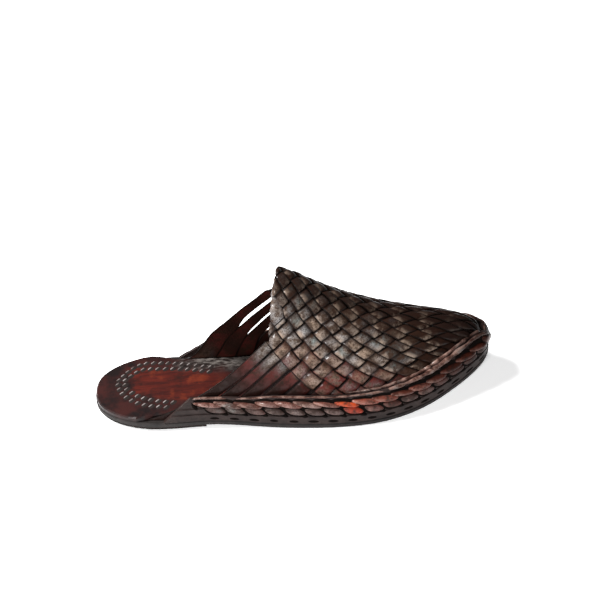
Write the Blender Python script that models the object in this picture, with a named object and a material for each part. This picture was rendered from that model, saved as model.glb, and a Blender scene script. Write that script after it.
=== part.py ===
"""A woven leather slipper for the right foot, open at the back, with its toe along +X.

Stations are shares of LENGTH counted from the back of the heel. The near side is the
outer (lateral) side at -Y, the far side is the inner (medial) side at +Y. The origin is on
the floor under the middle of the heel.
"""

import math

import bmesh
import bpy
import numpy as np

# Driving sizes in metres
LENGTH = 0.262
BALL_WIDTH = 0.089
HEEL_CENTRE = 0.038
TOE_SPRING = 0.015
GAP = 0.0003

# Sole
LIFT = 0.0026
LIFT_LENGTH = 0.070
LIFT_INSET = 0.0022
OUTSOLE = 0.0035
OUTSOLE_BEVEL = 0.0007
INSOLE = 0.0029
INSOLE_BEVEL = 0.0008
SEAT_INSET = 0.0005
INSOLE_FIT = 0.0012

# Side wall that stands on the edge of the outsole, and the plaited braid laid on it
WALL_HEIGHT = 0.0205
WALL = 0.0026
WALL_INSET = 0.0003
WALL_FIT = 0.0006
BRAID_DEPTH = 0.0026
BRAID_PITCH = 0.0135

# Upper
UPPER = 0.0018
UPPER_FIT = 0.0005
STRIP = 0.0086
RAISE = 0.0009
VAMP_HEIGHT = 0.0955
THROAT = 0.120
NEAR_GIRTH = 0.052
FAR_GIRTH = 0.033
TOE_STOP = 0.0025
FEATHER_BAND = 0.007

# Where the upper's foot stands inside the outline
UPPER_INSET = WALL_INSET + WALL + UPPER_FIT
# Share of the crest's height above which the wall follows the upper no further
STEEPEST = 0.85

# Where the insole starts to narrow behind the wall's ends, as a multiple of its inset there
INSOLE_BLEND = 3.0
# Points along each side of a rail, and how the wall's steps crowd towards the middle of it
RAIL_STEPS = 160
WALL_SPACING = 1.35
# Braid: free length at each end in wall thicknesses, and its lobes' low points and roundness
BRAID_MARGIN = 3.0
LOBE_LOW = 0.45
LOBE_ROUND = 0.7
LOBE_WAIST = 0.6
# Shell of the upper: first section as a share of THROAT, and how sections crowd at the toe
FIRST_SECTION = 0.25
SECTION_SPACING = 1.6
TOE_SHIFT_POWER = 8
# Slits: share left uncut at each end and roundness; cells kept behind the throat; pads' borders
SLIT_END = 0.06
SLIT_ROUND = 0.3
CELLS_BEHIND = 0.5
PAD_SIDE = 0.14
PAD_END = 0.07
CUTTER_REACH = 0.01
WELD = 2e-5

LIFT_COLOUR = (0.035, 0.020, 0.015)
OUTSOLE_COLOUR = (0.060, 0.036, 0.026)
INSOLE_COLOUR = (0.120, 0.030, 0.018)
WALL_COLOUR = (0.075, 0.030, 0.022)
BRAID_COLOUR = (0.150, 0.035, 0.022)
UPPER_COLOUR = (0.055, 0.030, 0.024)

# Plan of the outsole: station, near and far half width as shares of BALL_WIDTH
PLAN = (
    (0.000, 0.000, 0.000),
    (0.010, 0.150, 0.145),
    (0.035, 0.242, 0.237),
    (0.075, 0.318, 0.312),
    (0.125, 0.368, 0.362),
    (0.180, 0.385, 0.380),
    (0.260, 0.388, 0.362),
    (0.340, 0.408, 0.362),
    (0.430, 0.444, 0.400),
    (0.510, 0.478, 0.452),
    (0.590, 0.497, 0.490),
    (0.665, 0.492, 0.503),
    (0.740, 0.452, 0.488),
    (0.815, 0.372, 0.440),
    (0.880, 0.272, 0.365),
    (0.935, 0.175, 0.280),
    (0.975, 0.080, 0.185),
    (0.994, 0.000, 0.110),
    (1.000, -0.045, 0.055),
)

# Underside of the outsole: station, share of TOE_SPRING
SPRING = ((0.0, 0.0), (0.68, 0.0), (0.76, 0.06), (0.84, 0.22), (0.92, 0.55), (1.0, 1.0))
FLAT_START = 0.46

# Top line of the side wall: station, share of WALL_HEIGHT
RIM = (
    (0.17, 0.84), (0.35, 0.84), (0.44, 0.97), (0.52, 0.96), (0.62, 0.93),
    (0.80, 0.99), (0.92, 1.08), (0.96, 1.02), (0.985, 0.82), (1.0, 0.55),
)
# Rear ends of the wall: station at its foot and at its rim
NEAR_END = (0.165, 0.232)
FAR_END = (0.212, 0.300)
# Section of the wall: share of the height, set back as a share of WALL; outer face, then inner face
WALL_ROWS = (
    (0.00, 0.00), (0.26, 0.00), (0.29, 0.22), (0.51, 0.10), (0.54, 0.35),
    (0.82, 0.35), (0.85, 0.05), (1.00, 0.30), (1.00, 0.85), (0.50, 1.00), (0.00, 1.00),
)
# Section of the braid: share of the wall's height, share of BRAID_DEPTH
BRAID_ROWS = ((0.57, 0.0), (0.79, 0.0), (0.81, 0.55), (0.68, 1.0), (0.55, 0.55))
BRAID_BACK = 0.35
BRAID_SLANT = 3.2

# Crest of the upper: station, height as a share of VAMP_HEIGHT. What lies behind the throat
# only guides the straps.
RIDGE = (
    (0.00, 1.55), (0.20, 1.31), (0.458, 1.0), (0.505, 0.935), (0.55, 0.852), (0.65, 0.700),
    (0.75, 0.594), (0.83, 0.537), (0.89, 0.504), (0.94, 0.464), (0.975, 0.410), (1.00, 0.315),
)
# Roundness of the sections, from a pointed arch (1) to an ellipse (2): station, power
FULL = ((0.0, 1.0), (0.458, 1.02), (0.60, 1.22), (0.75, 1.42), (0.90, 1.60), (1.0, 1.70))
# Sideways place of the crest: station, share of BALL_WIDTH
SWAY = ((0.0, 0.0), (0.458, 0.01), (0.80, 0.035), (1.0, 0.05))
# How far the sections lean back towards their feet: station, run over rise
LEAN_BACK = ((0.0, 0.20), (0.458, 0.20), (0.65, 0.08), (0.80, 0.0), (1.0, 0.0))

# The collar's edge on the near and far side: share of the way from the crest to the collar's
# corner, distance behind the throat as a share of THROAT
NEAR_COLLAR = ((0.0, 0.0), (0.31, 0.023), (0.54, 0.018), (1.0, 0.0))
FAR_COLLAR = ((0.0, 0.0), (1.0, -0.05))
# Rear edge of the straps on the near and far side: share of the way from the collar's corner
# to the feather, distance behind the throat as a share of THROAT
NEAR_REAR = ((0.0, 0.0), (0.16, 0.068), (0.32, 0.128), (0.50, 0.180), (0.70, 0.190), (1.0, 0.190))
FAR_REAR = (
    (0.0, -0.05), (0.12, 0.012), (0.265, 0.079), (0.40, 0.129), (0.565, 0.177), (0.715, 0.230), (1.0, 0.250),
)
# Slits between the straps: distance from the rear edge in strips, width as a share of STRIP,
# start and end as shares of the way from the collar's corner to the feather
NEAR_SLITS = ((1.0, 0.10, 0.10, 0.84), (2.0, 0.10, 0.22, 0.84), (3.0, 0.10, 0.34, 0.84))
FAR_SLITS = ((0.95, 0.34, 0.17, 0.62), (1.85, 0.20, 0.33, 0.62), (2.75, 0.16, 0.47, 0.62))

# How finely the shapes are cut
OUTLINE_STEPS = 60
STATIONS = 44
WALL_STEPS = 80
LOBE_STEPS = 5
COLLAR_STEPS = 6
STRAP_STEPS = 12
FEATHER_STEPS = 44
SLIT_STEPS = 8
SECTION_ROWS = 120
SECTION_COLUMNS = 81


def follow(rows, station):
    """A smooth curve without overshoot through the rows (station, value)."""
    table = np.asarray(rows, float)
    xs = table[:, 0]
    ys = table[:, 1]
    step = np.diff(xs)
    slope = np.diff(ys) / step
    tangent = np.zeros(len(xs))
    tangent[0] = slope[0]
    tangent[-1] = slope[-1]
    for k in range(1, len(xs) - 1):
        if slope[k - 1] * slope[k] > 0.0:
            before = 2.0 * step[k] + step[k - 1]
            after = step[k] + 2.0 * step[k - 1]
            tangent[k] = (before + after) / (before / slope[k - 1] + after / slope[k])
    x = np.clip(station, xs[0], xs[-1])
    k = np.clip(np.searchsorted(xs, x) - 1, 0, len(xs) - 2)
    u = (x - xs[k]) / step[k]
    start = (1.0 + 2.0 * u) * (1.0 - u) ** 2 * ys[k] + u * (1.0 - u) ** 2 * step[k] * tangent[k]
    finish = u * u * (3.0 - 2.0 * u) * ys[k + 1] + u * u * (u - 1.0) * step[k] * tangent[k + 1]
    return start + finish


def ease(value):
    """0 to 1 with level ends."""
    u = np.clip(value, 0.0, 1.0)
    return u * u * (3.0 - 2.0 * u)


def closed_spline(points, steps):
    """Centripetal spline through a closed ring of points."""
    ring = np.asarray(points, float)
    count = len(ring)
    gaps = np.sqrt(np.linalg.norm(np.roll(ring, -1, 0) - ring, axis=1))
    pieces = []
    for i in range(count):
        p0 = ring[i - 1]
        p1 = ring[i]
        p2 = ring[(i + 1) % count]
        p3 = ring[(i + 2) % count]
        t1 = gaps[i - 1]
        t2 = t1 + gaps[i]
        t3 = t2 + gaps[(i + 1) % count]
        t = np.linspace(t1, t2, steps, endpoint=False)[:, None]
        a1 = (t1 - t) / t1 * p0 + t / t1 * p1
        a2 = (t2 - t) / (t2 - t1) * p1 + (t - t1) / (t2 - t1) * p2
        a3 = (t3 - t) / (t3 - t2) * p2 + (t - t2) / (t3 - t2) * p3
        b1 = (t2 - t) / t2 * a1 + t / t2 * a2
        b2 = (t3 - t) / (t3 - t1) * a2 + (t - t1) / (t3 - t1) * a3
        pieces.append((t2 - t) / (t2 - t1) * b1 + (t - t1) / (t2 - t1) * b2)
    return np.concatenate(pieces)


def plan_edges():
    """The outline's near and far edge, each from the heel's back to the toe's tip."""
    near = [(s * LENGTH, -n * BALL_WIDTH) for s, n, f in PLAN]
    far = [(s * LENGTH, f * BALL_WIDTH) for s, n, f in PLAN[1:]]
    ring = closed_spline(near + far[::-1], OUTLINE_STEPS)
    ring = np.roll(ring, -int(np.argmin(ring[:, 0])), axis=0)
    tip = int(np.argmax(ring[:, 0]))
    return ring[: tip + 1], np.vstack([ring[tip:], ring[:1]])[::-1]


NEAR_EDGE, FAR_EDGE = plan_edges()
BACK = NEAR_EDGE[0]
TIP = NEAR_EDGE[-1]


def sides(x, inset):
    """Near and far y of the outline moved in by inset, at each x."""
    x = np.asarray(x, float)
    inset = np.broadcast_to(np.maximum(inset, 1e-6), x.shape)
    out = []
    for edge, sign in ((NEAR_EDGE, 1.0), (FAR_EDGE, -1.0)):
        dx = x[:, None] - edge[None, :, 0]
        reach = np.sqrt(np.maximum(inset[:, None] ** 2 - dx ** 2, 0.0))
        moved = np.where(np.abs(dx) <= inset[:, None], sign * edge[None, :, 1] + reach, -1.0)
        plain = sign * np.interp(x, edge[:, 0], edge[:, 1])
        out.append(sign * np.maximum(moved.max(axis=1), plain))
    middle = 0.5 * (out[0] + out[1])
    return np.minimum(out[0], middle), np.maximum(out[1], middle)


def sole_line(x):
    """Height of the outsole's underside: on the heel lift, on the floor, then the toe spring."""
    start = LIFT_LENGTH + GAP
    waist = (x - start) / (FLAT_START * LENGTH - start)
    return (LIFT + GAP) * (1.0 - ease(waist)) + TOE_SPRING * follow(SPRING, x / LENGTH)


def outsole_top(x):
    return sole_line(x) + OUTSOLE


def crest_height(x):
    return VAMP_HEIGHT * follow(RIDGE, x / LENGTH)


def lean_in(x, rise):
    """How far the face of the upper has come in from its feather at a rise above it."""
    foot = outsole_top(x) + GAP
    crest = x + follow(LEAN_BACK, x / LENGTH) * (crest_height(x) - foot - rise)
    share = np.clip(rise / (crest_height(crest) - foot), 0.0, STEEPEST)
    near, far = sides(x, UPPER_INSET)
    return 0.5 * (far - near) * (1.0 - np.sqrt(1.0 - share ** follow(FULL, crest / LENGTH)))


def wall_rise(x, share):
    return WALL_HEIGHT * follow(RIM, x / LENGTH) * share


def wall_point(x, share):
    """Height of the side wall at a share of its own height."""
    return outsole_top(x) + GAP + wall_rise(x, share)


def wall_inset(x, share, back):
    """How far the wall is from the outline: it leans in with the upper, clear of its strips."""
    lean = lean_in(x, wall_rise(x, share)) - (RAISE + WALL_FIT) * share
    return WALL_INSET + np.maximum(lean, 0.0) + back


def new_object(name, bm, colour, roughness):
    """Closes a shape as a named object with its own leather material."""
    bmesh.ops.remove_doubles(bm, verts=bm.verts, dist=1e-6)
    bmesh.ops.recalc_face_normals(bm, faces=bm.faces)
    bmesh.ops.translate(bm, verts=bm.verts, vec=(-HEEL_CENTRE, 0.0, 0.0))
    mesh = bpy.data.meshes.new(name)
    bm.to_mesh(mesh)
    bm.free()
    mesh.shade_smooth()
    mesh.set_sharp_from_angle(angle=math.radians(35.0))
    material = bpy.data.materials.new(name + "_leather")
    material.use_nodes = True
    shader = material.node_tree.nodes["Principled BSDF"]
    shader.inputs["Base Color"].default_value = (*colour, 1.0)
    shader.inputs["Roughness"].default_value = roughness
    shader.inputs["Metallic"].default_value = 0.0
    mesh.materials.append(material)
    thing = bpy.data.objects.new(name, mesh)
    bpy.context.scene.collection.objects.link(thing)
    return thing


def ring(inset, height, stop=None):
    """A level ring of the sole: near and far points at stations that crowd the round ends."""
    first = BACK[0] + inset
    last = TIP[0] - inset if stop is None else stop
    turn = math.pi if stop is None else 0.5 * math.pi
    angle = np.linspace(0.0, turn, STATIONS + 1)
    x = first + (last - first) * (1.0 - np.cos(angle)) / (1.0 - math.cos(turn))
    near, far = sides(x, inset)
    z = height(x)
    return np.stack([x, near, z], 1), np.stack([x, far, z], 1)


def plate(name, rings, colour, roughness):
    """A sole layer: rings from its underside to its top, closed across by ladders of faces."""
    bm = bmesh.new()
    loops = []
    for near, far in rings:
        loops.append(([bm.verts.new(p) for p in near], [bm.verts.new(p) for p in far]))
    for (near_a, far_a), (near_b, far_b) in zip(loops, loops[1:]):
        for k in range(STATIONS):
            bm.faces.new((near_a[k], near_a[k + 1], near_b[k + 1], near_b[k]))
            bm.faces.new((far_a[k + 1], far_a[k], far_b[k], far_b[k + 1]))
        bm.faces.new((far_a[0], near_a[0], near_b[0], far_b[0]))
        bm.faces.new((near_a[-1], far_a[-1], far_b[-1], near_b[-1]))
    for near, far in (loops[0], loops[-1]):
        for k in range(STATIONS):
            bm.faces.new((near[k], far[k], far[k + 1], near[k + 1]))
    return new_object(name, bm, colour, roughness)


def make_heel_lift():
    def level(z):
        return lambda x: np.full(len(x), z)

    rings = [
        ring(LIFT_INSET, level(0.0), LIFT_LENGTH),
        ring(LIFT_INSET, level(LIFT), LIFT_LENGTH),
    ]
    return plate("heel_lift", rings, LIFT_COLOUR, 0.6)


def make_outsole():
    rows = (
        (OUTSOLE_BEVEL, 0.0),
        (0.0, OUTSOLE_BEVEL),
        (0.0, OUTSOLE - OUTSOLE_BEVEL),
        (OUTSOLE_BEVEL, OUTSOLE),
    )
    rings = [ring(inset, lambda x, up=up: sole_line(x) + up) for inset, up in rows]
    return plate("outsole", rings, OUTSOLE_COLOUR, 0.5)


def insole_ring(extra, up):
    """The insole is flush with the heel seat, and inside wall and upper further forward."""
    seat = SEAT_INSET + extra
    inner = UPPER_INSET + UPPER + INSOLE_FIT + extra
    first = BACK[0] + seat
    last = TIP[0] - inner - TOE_STOP
    x = first + (last - first) * (1.0 - np.cos(np.linspace(0.0, math.pi, STATIONS + 1))) / 2.0
    wide = sides(x, seat)
    slim = sides(x, inner)
    rim = []
    for k, (foot, top) in enumerate((NEAR_END, FAR_END)):
        begin = foot * LENGTH - INSOLE_BLEND * inner
        blend = ease((x - begin) / (foot * LENGTH - GAP - begin))
        rim.append(wide[k] * (1.0 - blend) + slim[k] * blend)
    z = outsole_top(x) + GAP + up
    return np.stack([x, rim[0], z], 1), np.stack([x, rim[1], z], 1)


def make_insole():
    rings = [
        insole_ring(0.0, 0.0),
        insole_ring(0.0, INSOLE - INSOLE_BEVEL),
        insole_ring(INSOLE_BEVEL, INSOLE),
    ]
    return plate("insole", rings, INSOLE_COLOUR, 0.45)


def rail(inset_at, near_start, far_start, shares):
    """Points along the outline moved in by inset_at(x), from the near end round the toe."""
    tip_x = TIP[0] - float(inset_at(TIP[:1])[0])
    sweep = np.sin(np.linspace(0.0, 0.5 * math.pi, RAIL_STEPS))
    near_x = near_start + (tip_x - near_start) * sweep
    far_x = far_start + (tip_x - far_start) * sweep
    near = sides(near_x, inset_at(near_x))[0]
    far = sides(far_x, inset_at(far_x))[1]
    path = np.vstack([np.stack([near_x, near], 1), np.stack([far_x, far], 1)[::-1]])
    run = np.concatenate([[0.0], np.cumsum(np.linalg.norm(np.diff(path, axis=0), axis=1))])
    at = shares * run[-1]
    return np.stack([np.interp(at, run, path[:, 0]), np.interp(at, run, path[:, 1])], 1), run[-1]


def end_station(ends, share):
    return (ends[0] + (ends[1] - ends[0]) * share) * LENGTH


def band(name, rows, colour, roughness):
    """A closed strip made of rows of points that run beside each other round the toe."""
    bm = bmesh.new()
    grid = [[bm.verts.new(p) for p in row] for row in rows]
    count = len(grid)
    for j in range(count):
        here = grid[j]
        over = grid[(j + 1) % count]
        for i in range(len(here) - 1):
            bm.faces.new((here[i], here[i + 1], over[i + 1], over[i]))
    bm.faces.new([row[0] for row in grid])
    bm.faces.new([row[-1] for row in reversed(grid)])
    return new_object(name, bm, colour, roughness)


def make_side_wall():
    even = np.linspace(-1.0, 1.0, WALL_STEPS + 1)
    shares = 0.5 + 0.5 * np.sign(even) * np.abs(even) ** WALL_SPACING
    rows = []
    for share, back in WALL_ROWS:
        def inset_at(x, share=share, back=back):
            return wall_inset(x, share, back * WALL)
        starts = (end_station(NEAR_END, share), end_station(FAR_END, share))
        points, run = rail(inset_at, *starts, shares)
        rows.append(np.column_stack([points, wall_point(points[:, 0], share)]))
    return band("side_wall", rows, WALL_COLOUR, 0.42)


def make_edge_braid():
    def base(x):
        return wall_inset(x, BRAID_ROWS[0][0], BRAID_BACK * WALL - GAP)

    margin = BRAID_MARGIN * WALL
    centre = 0.5 * (BRAID_ROWS[0][0] + BRAID_ROWS[1][0])
    starts = (end_station(NEAR_END, centre) + margin, end_station(FAR_END, centre) + margin)
    run = rail(base, *starts, np.array([0.0]))[1]
    lobes = max(2, round(run / BRAID_PITCH))
    shares = np.linspace(0.0, 1.0, lobes * LOBE_STEPS + 1)
    rows = []
    for height, depth in BRAID_ROWS:
        wave = np.abs(np.sin(math.pi * lobes * shares + BRAID_SLANT * (height - centre)))
        swell = LOBE_LOW + (1.0 - LOBE_LOW) * wave ** LOBE_ROUND

        def inset_at(x, height=height):
            return wall_inset(x, height, BRAID_BACK * WALL - GAP)
        points, run = rail(inset_at, *starts, shares)
        beyond, run = rail(
            lambda x, height=height: inset_at(x, height) - 0.5 * BRAID_DEPTH, *starts, shares
        )
        outward = (beyond - points) / (0.5 * BRAID_DEPTH)
        points = points + outward * (depth * BRAID_DEPTH * swell)[:, None]
        rise = centre + (height - centre) * (LOBE_WAIST + (1.0 - LOBE_WAIST) * swell)
        rows.append(np.column_stack([points, wall_point(points[:, 0], rise)]))
    return band("edge_braid", rows, BRAID_COLOUR, 0.38)


class Shell:
    """The outer face of the upper, as rows of points across the foot from feather to feather.

    A place on it is given by s, the run along the crest from the throat, and t, the run
    across it from the crest, both in metres as a strip of leather would measure them.
    """

    def __init__(self):
        first = FIRST_SECTION * THROAT
        last = TIP[0] - UPPER_INSET - TOE_STOP
        share = 1.0 - (1.0 - np.linspace(0.0, 1.0, SECTION_ROWS)) ** SECTION_SPACING
        crest_x = first + (last - first) * share
        station = (crest_x + (crest_x / last) ** TOE_SHIFT_POWER * (LENGTH - last)) / LENGTH
        top = crest_height(station * LENGTH)
        power = follow(FULL, station)
        lean = follow(LEAN_BACK, station)
        sway = follow(SWAY, station) * BALL_WIDTH
        angle = np.linspace(-0.5 * math.pi, 0.5 * math.pi, SECTION_COLUMNS)
        self.grid = np.zeros((SECTION_ROWS, SECTION_COLUMNS, 3))
        for i in range(SECTION_ROWS):
            rise = np.cos(angle) ** (2.0 / power[i])
            foot = outsole_top(crest_x[i]) + GAP
            x = crest_x[i] - lean[i] * (top[i] - foot) * (1.0 - rise)
            foot = outsole_top(x) + GAP
            near, far = sides(x, UPPER_INSET)
            reach = np.where(angle < 0.0, sway[i] - near, far - sway[i])
            y = sway[i] + reach * np.sin(angle)
            self.grid[i] = np.stack([x, y, foot + (top[i] - foot) * rise], 1)
        middle = SECTION_COLUMNS // 2
        along = np.linalg.norm(np.diff(self.grid[:, middle], axis=0), axis=1)
        self.run = np.concatenate([[0.0], np.cumsum(along)])
        self.run -= np.interp(THROAT, crest_x, self.run)
        across = np.linalg.norm(np.diff(self.grid, axis=1), axis=2)
        girth = np.concatenate([np.zeros((SECTION_ROWS, 1)), np.cumsum(across, axis=1)], axis=1)
        self.girth = girth - girth[:, middle][:, None]
        rows = np.gradient(self.grid, axis=0)
        columns = np.gradient(self.grid, axis=1)
        normal = np.cross(rows, columns)
        self.normal = normal / np.linalg.norm(normal, axis=2)[:, :, None]
        self.end = float(self.run[-1])

    def feather(self, s, side):
        """The run from the crest to the lower edge at s; side is -1 near and 1 far."""
        return np.abs(np.interp(s, self.run, self.girth[:, 0 if side < 0 else -1]))

    def place(self, s, t):
        """Point and outward normal at (s, t)."""
        s = min(max(s, self.run[0]), self.run[-1])
        i = min(max(int(np.searchsorted(self.run, s)) - 1, 0), SECTION_ROWS - 2)
        u = (s - self.run[i]) / (self.run[i + 1] - self.run[i])
        girth = self.girth[i] * (1.0 - u) + self.girth[i + 1] * u
        points = self.grid[i] * (1.0 - u) + self.grid[i + 1] * u
        normals = self.normal[i] * (1.0 - u) + self.normal[i + 1] * u
        t = min(max(t, girth[0]), girth[-1])
        k = min(max(int(np.searchsorted(girth, t)) - 1, 0), SECTION_COLUMNS - 2)
        v = (t - girth[k]) / (girth[k + 1] - girth[k])
        normal = normals[k] * (1.0 - v) + normals[k + 1] * v
        return points[k] * (1.0 - v) + points[k + 1] * v, normal / np.linalg.norm(normal)


def rear_edge(shell, side, share):
    """(s, t) on the rear edge of the straps, from the collar's corner to the feather."""
    corner, rows = (NEAR_GIRTH, NEAR_REAR) if side < 0 else (FAR_GIRTH, FAR_REAR)
    s = -THROAT * follow(rows, share)
    return s, side * (corner + (shell.feather(s, side) - corner) * share)


def collar_edge(side, share):
    """(s, t) on the edge of the collar, from the crest to the corner where the straps start."""
    corner, rows = (NEAR_GIRTH, NEAR_COLLAR) if side < 0 else (FAR_GIRTH, FAR_COLLAR)
    return -THROAT * follow(rows, share), side * corner * share


def upper_outline(shell):
    """The flat pattern of the upper in (s, t)."""
    outline = []
    for side in (-1.0, 1.0):
        collar = list(zip(*collar_edge(side, np.linspace(0.0, 1.0, COLLAR_STEPS + 1))))[:-1]
        s, t = rear_edge(shell, side, np.linspace(0.0, 1.0, STRAP_STEPS + 1))
        feather_s = np.linspace(s[-1], shell.end, FEATHER_STEPS + 1)[1:]
        feather = [(k, side * float(shell.feather(k, side))) for k in feather_s]
        edge = collar + list(zip(s, t)) + feather
        outline += edge if side < 0.0 else edge[:0:-1]
    return outline


def slit_outlines(shell):
    """Long gaps between the straps, each parallel to the rear edge."""
    outlines = []
    for side, slits in ((-1.0, NEAR_SLITS), (1.0, FAR_SLITS)):
        for strips, width, start, stop in slits:
            share = np.linspace(start, stop, SLIT_STEPS + 1)
            s, t = rear_edge(shell, side, share)
            limit = side * (shell.feather(s, side) - FEATHER_BAND)
            t = side * np.minimum(side * t, side * limit)
            forward = strips * STRIP * math.sqrt(2.0)
            taper = np.sin(math.pi * np.linspace(SLIT_END, 1.0 - SLIT_END, SLIT_STEPS + 1)) ** SLIT_ROUND
            half = 0.5 * width * STRIP * math.sqrt(2.0) * taper
            back = list(zip(s + forward - half, t))
            front = list(zip(s + forward + half, t))
            outlines.append(back + front[::-1])
    return outlines


def prism(outlines, low, high):
    """Upright prisms over flat outlines, used as cutters."""
    bm = bmesh.new()
    for outline in outlines:
        floor = [bm.verts.new((a, b, low)) for a, b in outline]
        roof = [bm.verts.new((a, b, high)) for a, b in outline]
        bm.faces.new(floor)
        bm.faces.new(roof)
        for k in range(len(floor)):
            n = (k + 1) % len(floor)
            bm.faces.new((floor[k], floor[n], roof[n], roof[k]))
    bmesh.ops.recalc_face_normals(bm, faces=bm.faces)
    return bm


def scratch_object(name, bm):
    mesh = bpy.data.meshes.new(name)
    bm.to_mesh(mesh)
    bm.free()
    thing = bpy.data.objects.new(name, mesh)
    thing.hide_render = True
    thing.display_type = "WIRE"
    bpy.context.scene.collection.objects.link(thing)
    return thing


def flat_weave(shell):
    """A flat slab of square cells set at 45 degrees, each with the pad of its upper strip."""
    bm = bmesh.new()
    corners = {}

    def corner(i, j, z):
        key = (i, j, z)
        if key not in corners:
            s = (i + j) * STRIP / math.sqrt(2.0)
            t = (i - j) * STRIP / math.sqrt(2.0)
            corners[key] = bm.verts.new((s, t, z))
        return corners[key]

    reach = int(math.ceil((shell.end + 2.0 * NEAR_GIRTH) / STRIP)) + 3
    cells = set()
    for i in range(-reach, reach):
        for j in range(-reach, reach):
            s = (i + j + 1) * STRIP / math.sqrt(2.0)
            t = (i - j) * STRIP / math.sqrt(2.0)
            side = -1.0 if t < 0.0 else 1.0
            if -CELLS_BEHIND * THROAT < s < shell.end + STRIP and abs(t) < shell.feather(s, side) + 2.0 * STRIP:
                cells.add((i, j))
    for i, j in sorted(cells):
        square = [(i, j), (i + 1, j), (i + 1, j + 1), (i, j + 1)]
        top = [corner(a, b, 0.0) for a, b in square]
        bm.faces.new(list(reversed([corner(a, b, -UPPER) for a, b in square])))
        for (a, b), (c, d), other in (
            (square[0], square[1], (i, j - 1)),
            (square[1], square[2], (i + 1, j)),
            (square[2], square[3], (i, j + 1)),
            (square[3], square[0], (i - 1, j)),
        ):
            if other not in cells:
                low = [corner(a, b, -UPPER), corner(c, d, -UPPER)]
                bm.faces.new(low + [corner(c, d, 0.0), corner(a, b, 0.0)])
        s = (i + j + 1) * STRIP / math.sqrt(2.0)
        t = (i - j) * STRIP / math.sqrt(2.0)
        corner_t = NEAR_GIRTH if t < 0.0 else FAR_GIRTH
        if s < abs(t) - corner_t + 0.5 * STRIP:
            bm.faces.new(top)
            continue
        narrow, wide = (PAD_SIDE, PAD_END) if (i + j) % 2 else (PAD_END, PAD_SIDE)
        pad = []
        for a, b in ((narrow, wide), (1 - narrow, wide), (1 - narrow, 1 - wide), (narrow, 1 - wide)):
            s = (i + a + j + b) * STRIP / math.sqrt(2.0)
            t = (i + a - j - b) * STRIP / math.sqrt(2.0)
            pad.append(bm.verts.new((s, t, RAISE)))
        bm.faces.new(pad)
        for k in range(4):
            n = (k + 1) % 4
            bm.faces.new((top[k], top[n], pad[n], pad[k]))
    bmesh.ops.recalc_face_normals(bm, faces=bm.faces)
    return bm


def cut(target, cutter, operation):
    change = target.modifiers.new(operation.lower(), "BOOLEAN")
    change.operation = operation
    change.solver = "EXACT"
    change.object = cutter


def make_upper():
    """The weave is cut flat to its pattern, then bent over the last."""
    shell = Shell()
    slab = scratch_object("flat_weave", flat_weave(shell))
    pattern = scratch_object("pattern", prism([upper_outline(shell)], -CUTTER_REACH, CUTTER_REACH))
    slits = scratch_object("slits", prism(slit_outlines(shell), -CUTTER_REACH, CUTTER_REACH))
    cut(slab, pattern, "INTERSECT")
    cut(slab, slits, "DIFFERENCE")
    bpy.context.view_layer.update()
    evaluated = slab.evaluated_get(bpy.context.evaluated_depsgraph_get())
    bm = bmesh.new()
    bm.from_mesh(evaluated.to_mesh())
    evaluated.to_mesh_clear()
    for thing in (slab, pattern, slits):
        bpy.data.objects.remove(thing)
    bmesh.ops.remove_doubles(bm, verts=bm.verts, dist=WELD)
    bmesh.ops.dissolve_degenerate(bm, edges=bm.edges, dist=0.5 * WELD)
    bmesh.ops.triangulate(bm, faces=bm.faces)
    for vert in bm.verts:
        s, t, up = vert.co
        point, normal = shell.place(s, t)
        low = outsole_top(point[0])
        rim = wall_point(point[0], 1.0)
        fade = min(max((point[2] - low) / (rim - low), 0.0), 1.0)
        vert.co = point + normal * (up * fade if up > 0.0 else up)
        vert.co.z = max(vert.co.z, float(outsole_top(vert.co.x)) + GAP)
    return new_object("upper", bm, UPPER_COLOUR, 0.40)


def main():
    for thing in list(bpy.data.objects):
        bpy.data.objects.remove(thing)
    make_heel_lift()
    make_outsole()
    make_insole()
    make_side_wall()
    make_edge_braid()
    make_upper()


main()
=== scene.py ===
"""Looks of the woven leather slipper: strips, plaited edge, insole and soles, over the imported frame.

The first tables repeat the named values of the CAD, in metres. Stations are shares of LENGTH
from the back of the heel; the near side is at -Y and the far side at +Y.
"""

import math

import bpy
import numpy as np
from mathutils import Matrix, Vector


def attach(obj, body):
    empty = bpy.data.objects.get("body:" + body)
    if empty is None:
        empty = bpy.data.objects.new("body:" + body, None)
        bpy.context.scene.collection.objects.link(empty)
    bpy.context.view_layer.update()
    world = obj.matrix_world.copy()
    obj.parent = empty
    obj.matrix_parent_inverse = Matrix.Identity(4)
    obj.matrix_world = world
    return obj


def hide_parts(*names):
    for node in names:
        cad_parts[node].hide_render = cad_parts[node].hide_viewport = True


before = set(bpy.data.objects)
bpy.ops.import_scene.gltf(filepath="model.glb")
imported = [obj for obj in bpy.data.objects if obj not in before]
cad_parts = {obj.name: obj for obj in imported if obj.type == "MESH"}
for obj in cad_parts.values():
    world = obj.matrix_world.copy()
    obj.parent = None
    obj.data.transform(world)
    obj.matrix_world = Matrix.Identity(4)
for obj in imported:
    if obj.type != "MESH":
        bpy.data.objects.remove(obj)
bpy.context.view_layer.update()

# Driving sizes in metres
LENGTH = 0.262
BALL_WIDTH = 0.089
HEEL_CENTRE = 0.038
TOE_SPRING = 0.015
GAP = 0.0003

# Sole
LIFT = 0.0026
LIFT_LENGTH = 0.070
OUTSOLE = 0.0035
INSOLE = 0.0029

# Side wall that stands on the edge of the outsole
WALL_HEIGHT = 0.0205
WALL = 0.0026
WALL_INSET = 0.0003
WALL_FIT = 0.0006

# Upper
UPPER_FIT = 0.0005
RAISE = 0.0009
VAMP_HEIGHT = 0.0955
THROAT = 0.120
NEAR_GIRTH = 0.052
FAR_GIRTH = 0.033
TOE_STOP = 0.0025

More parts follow.
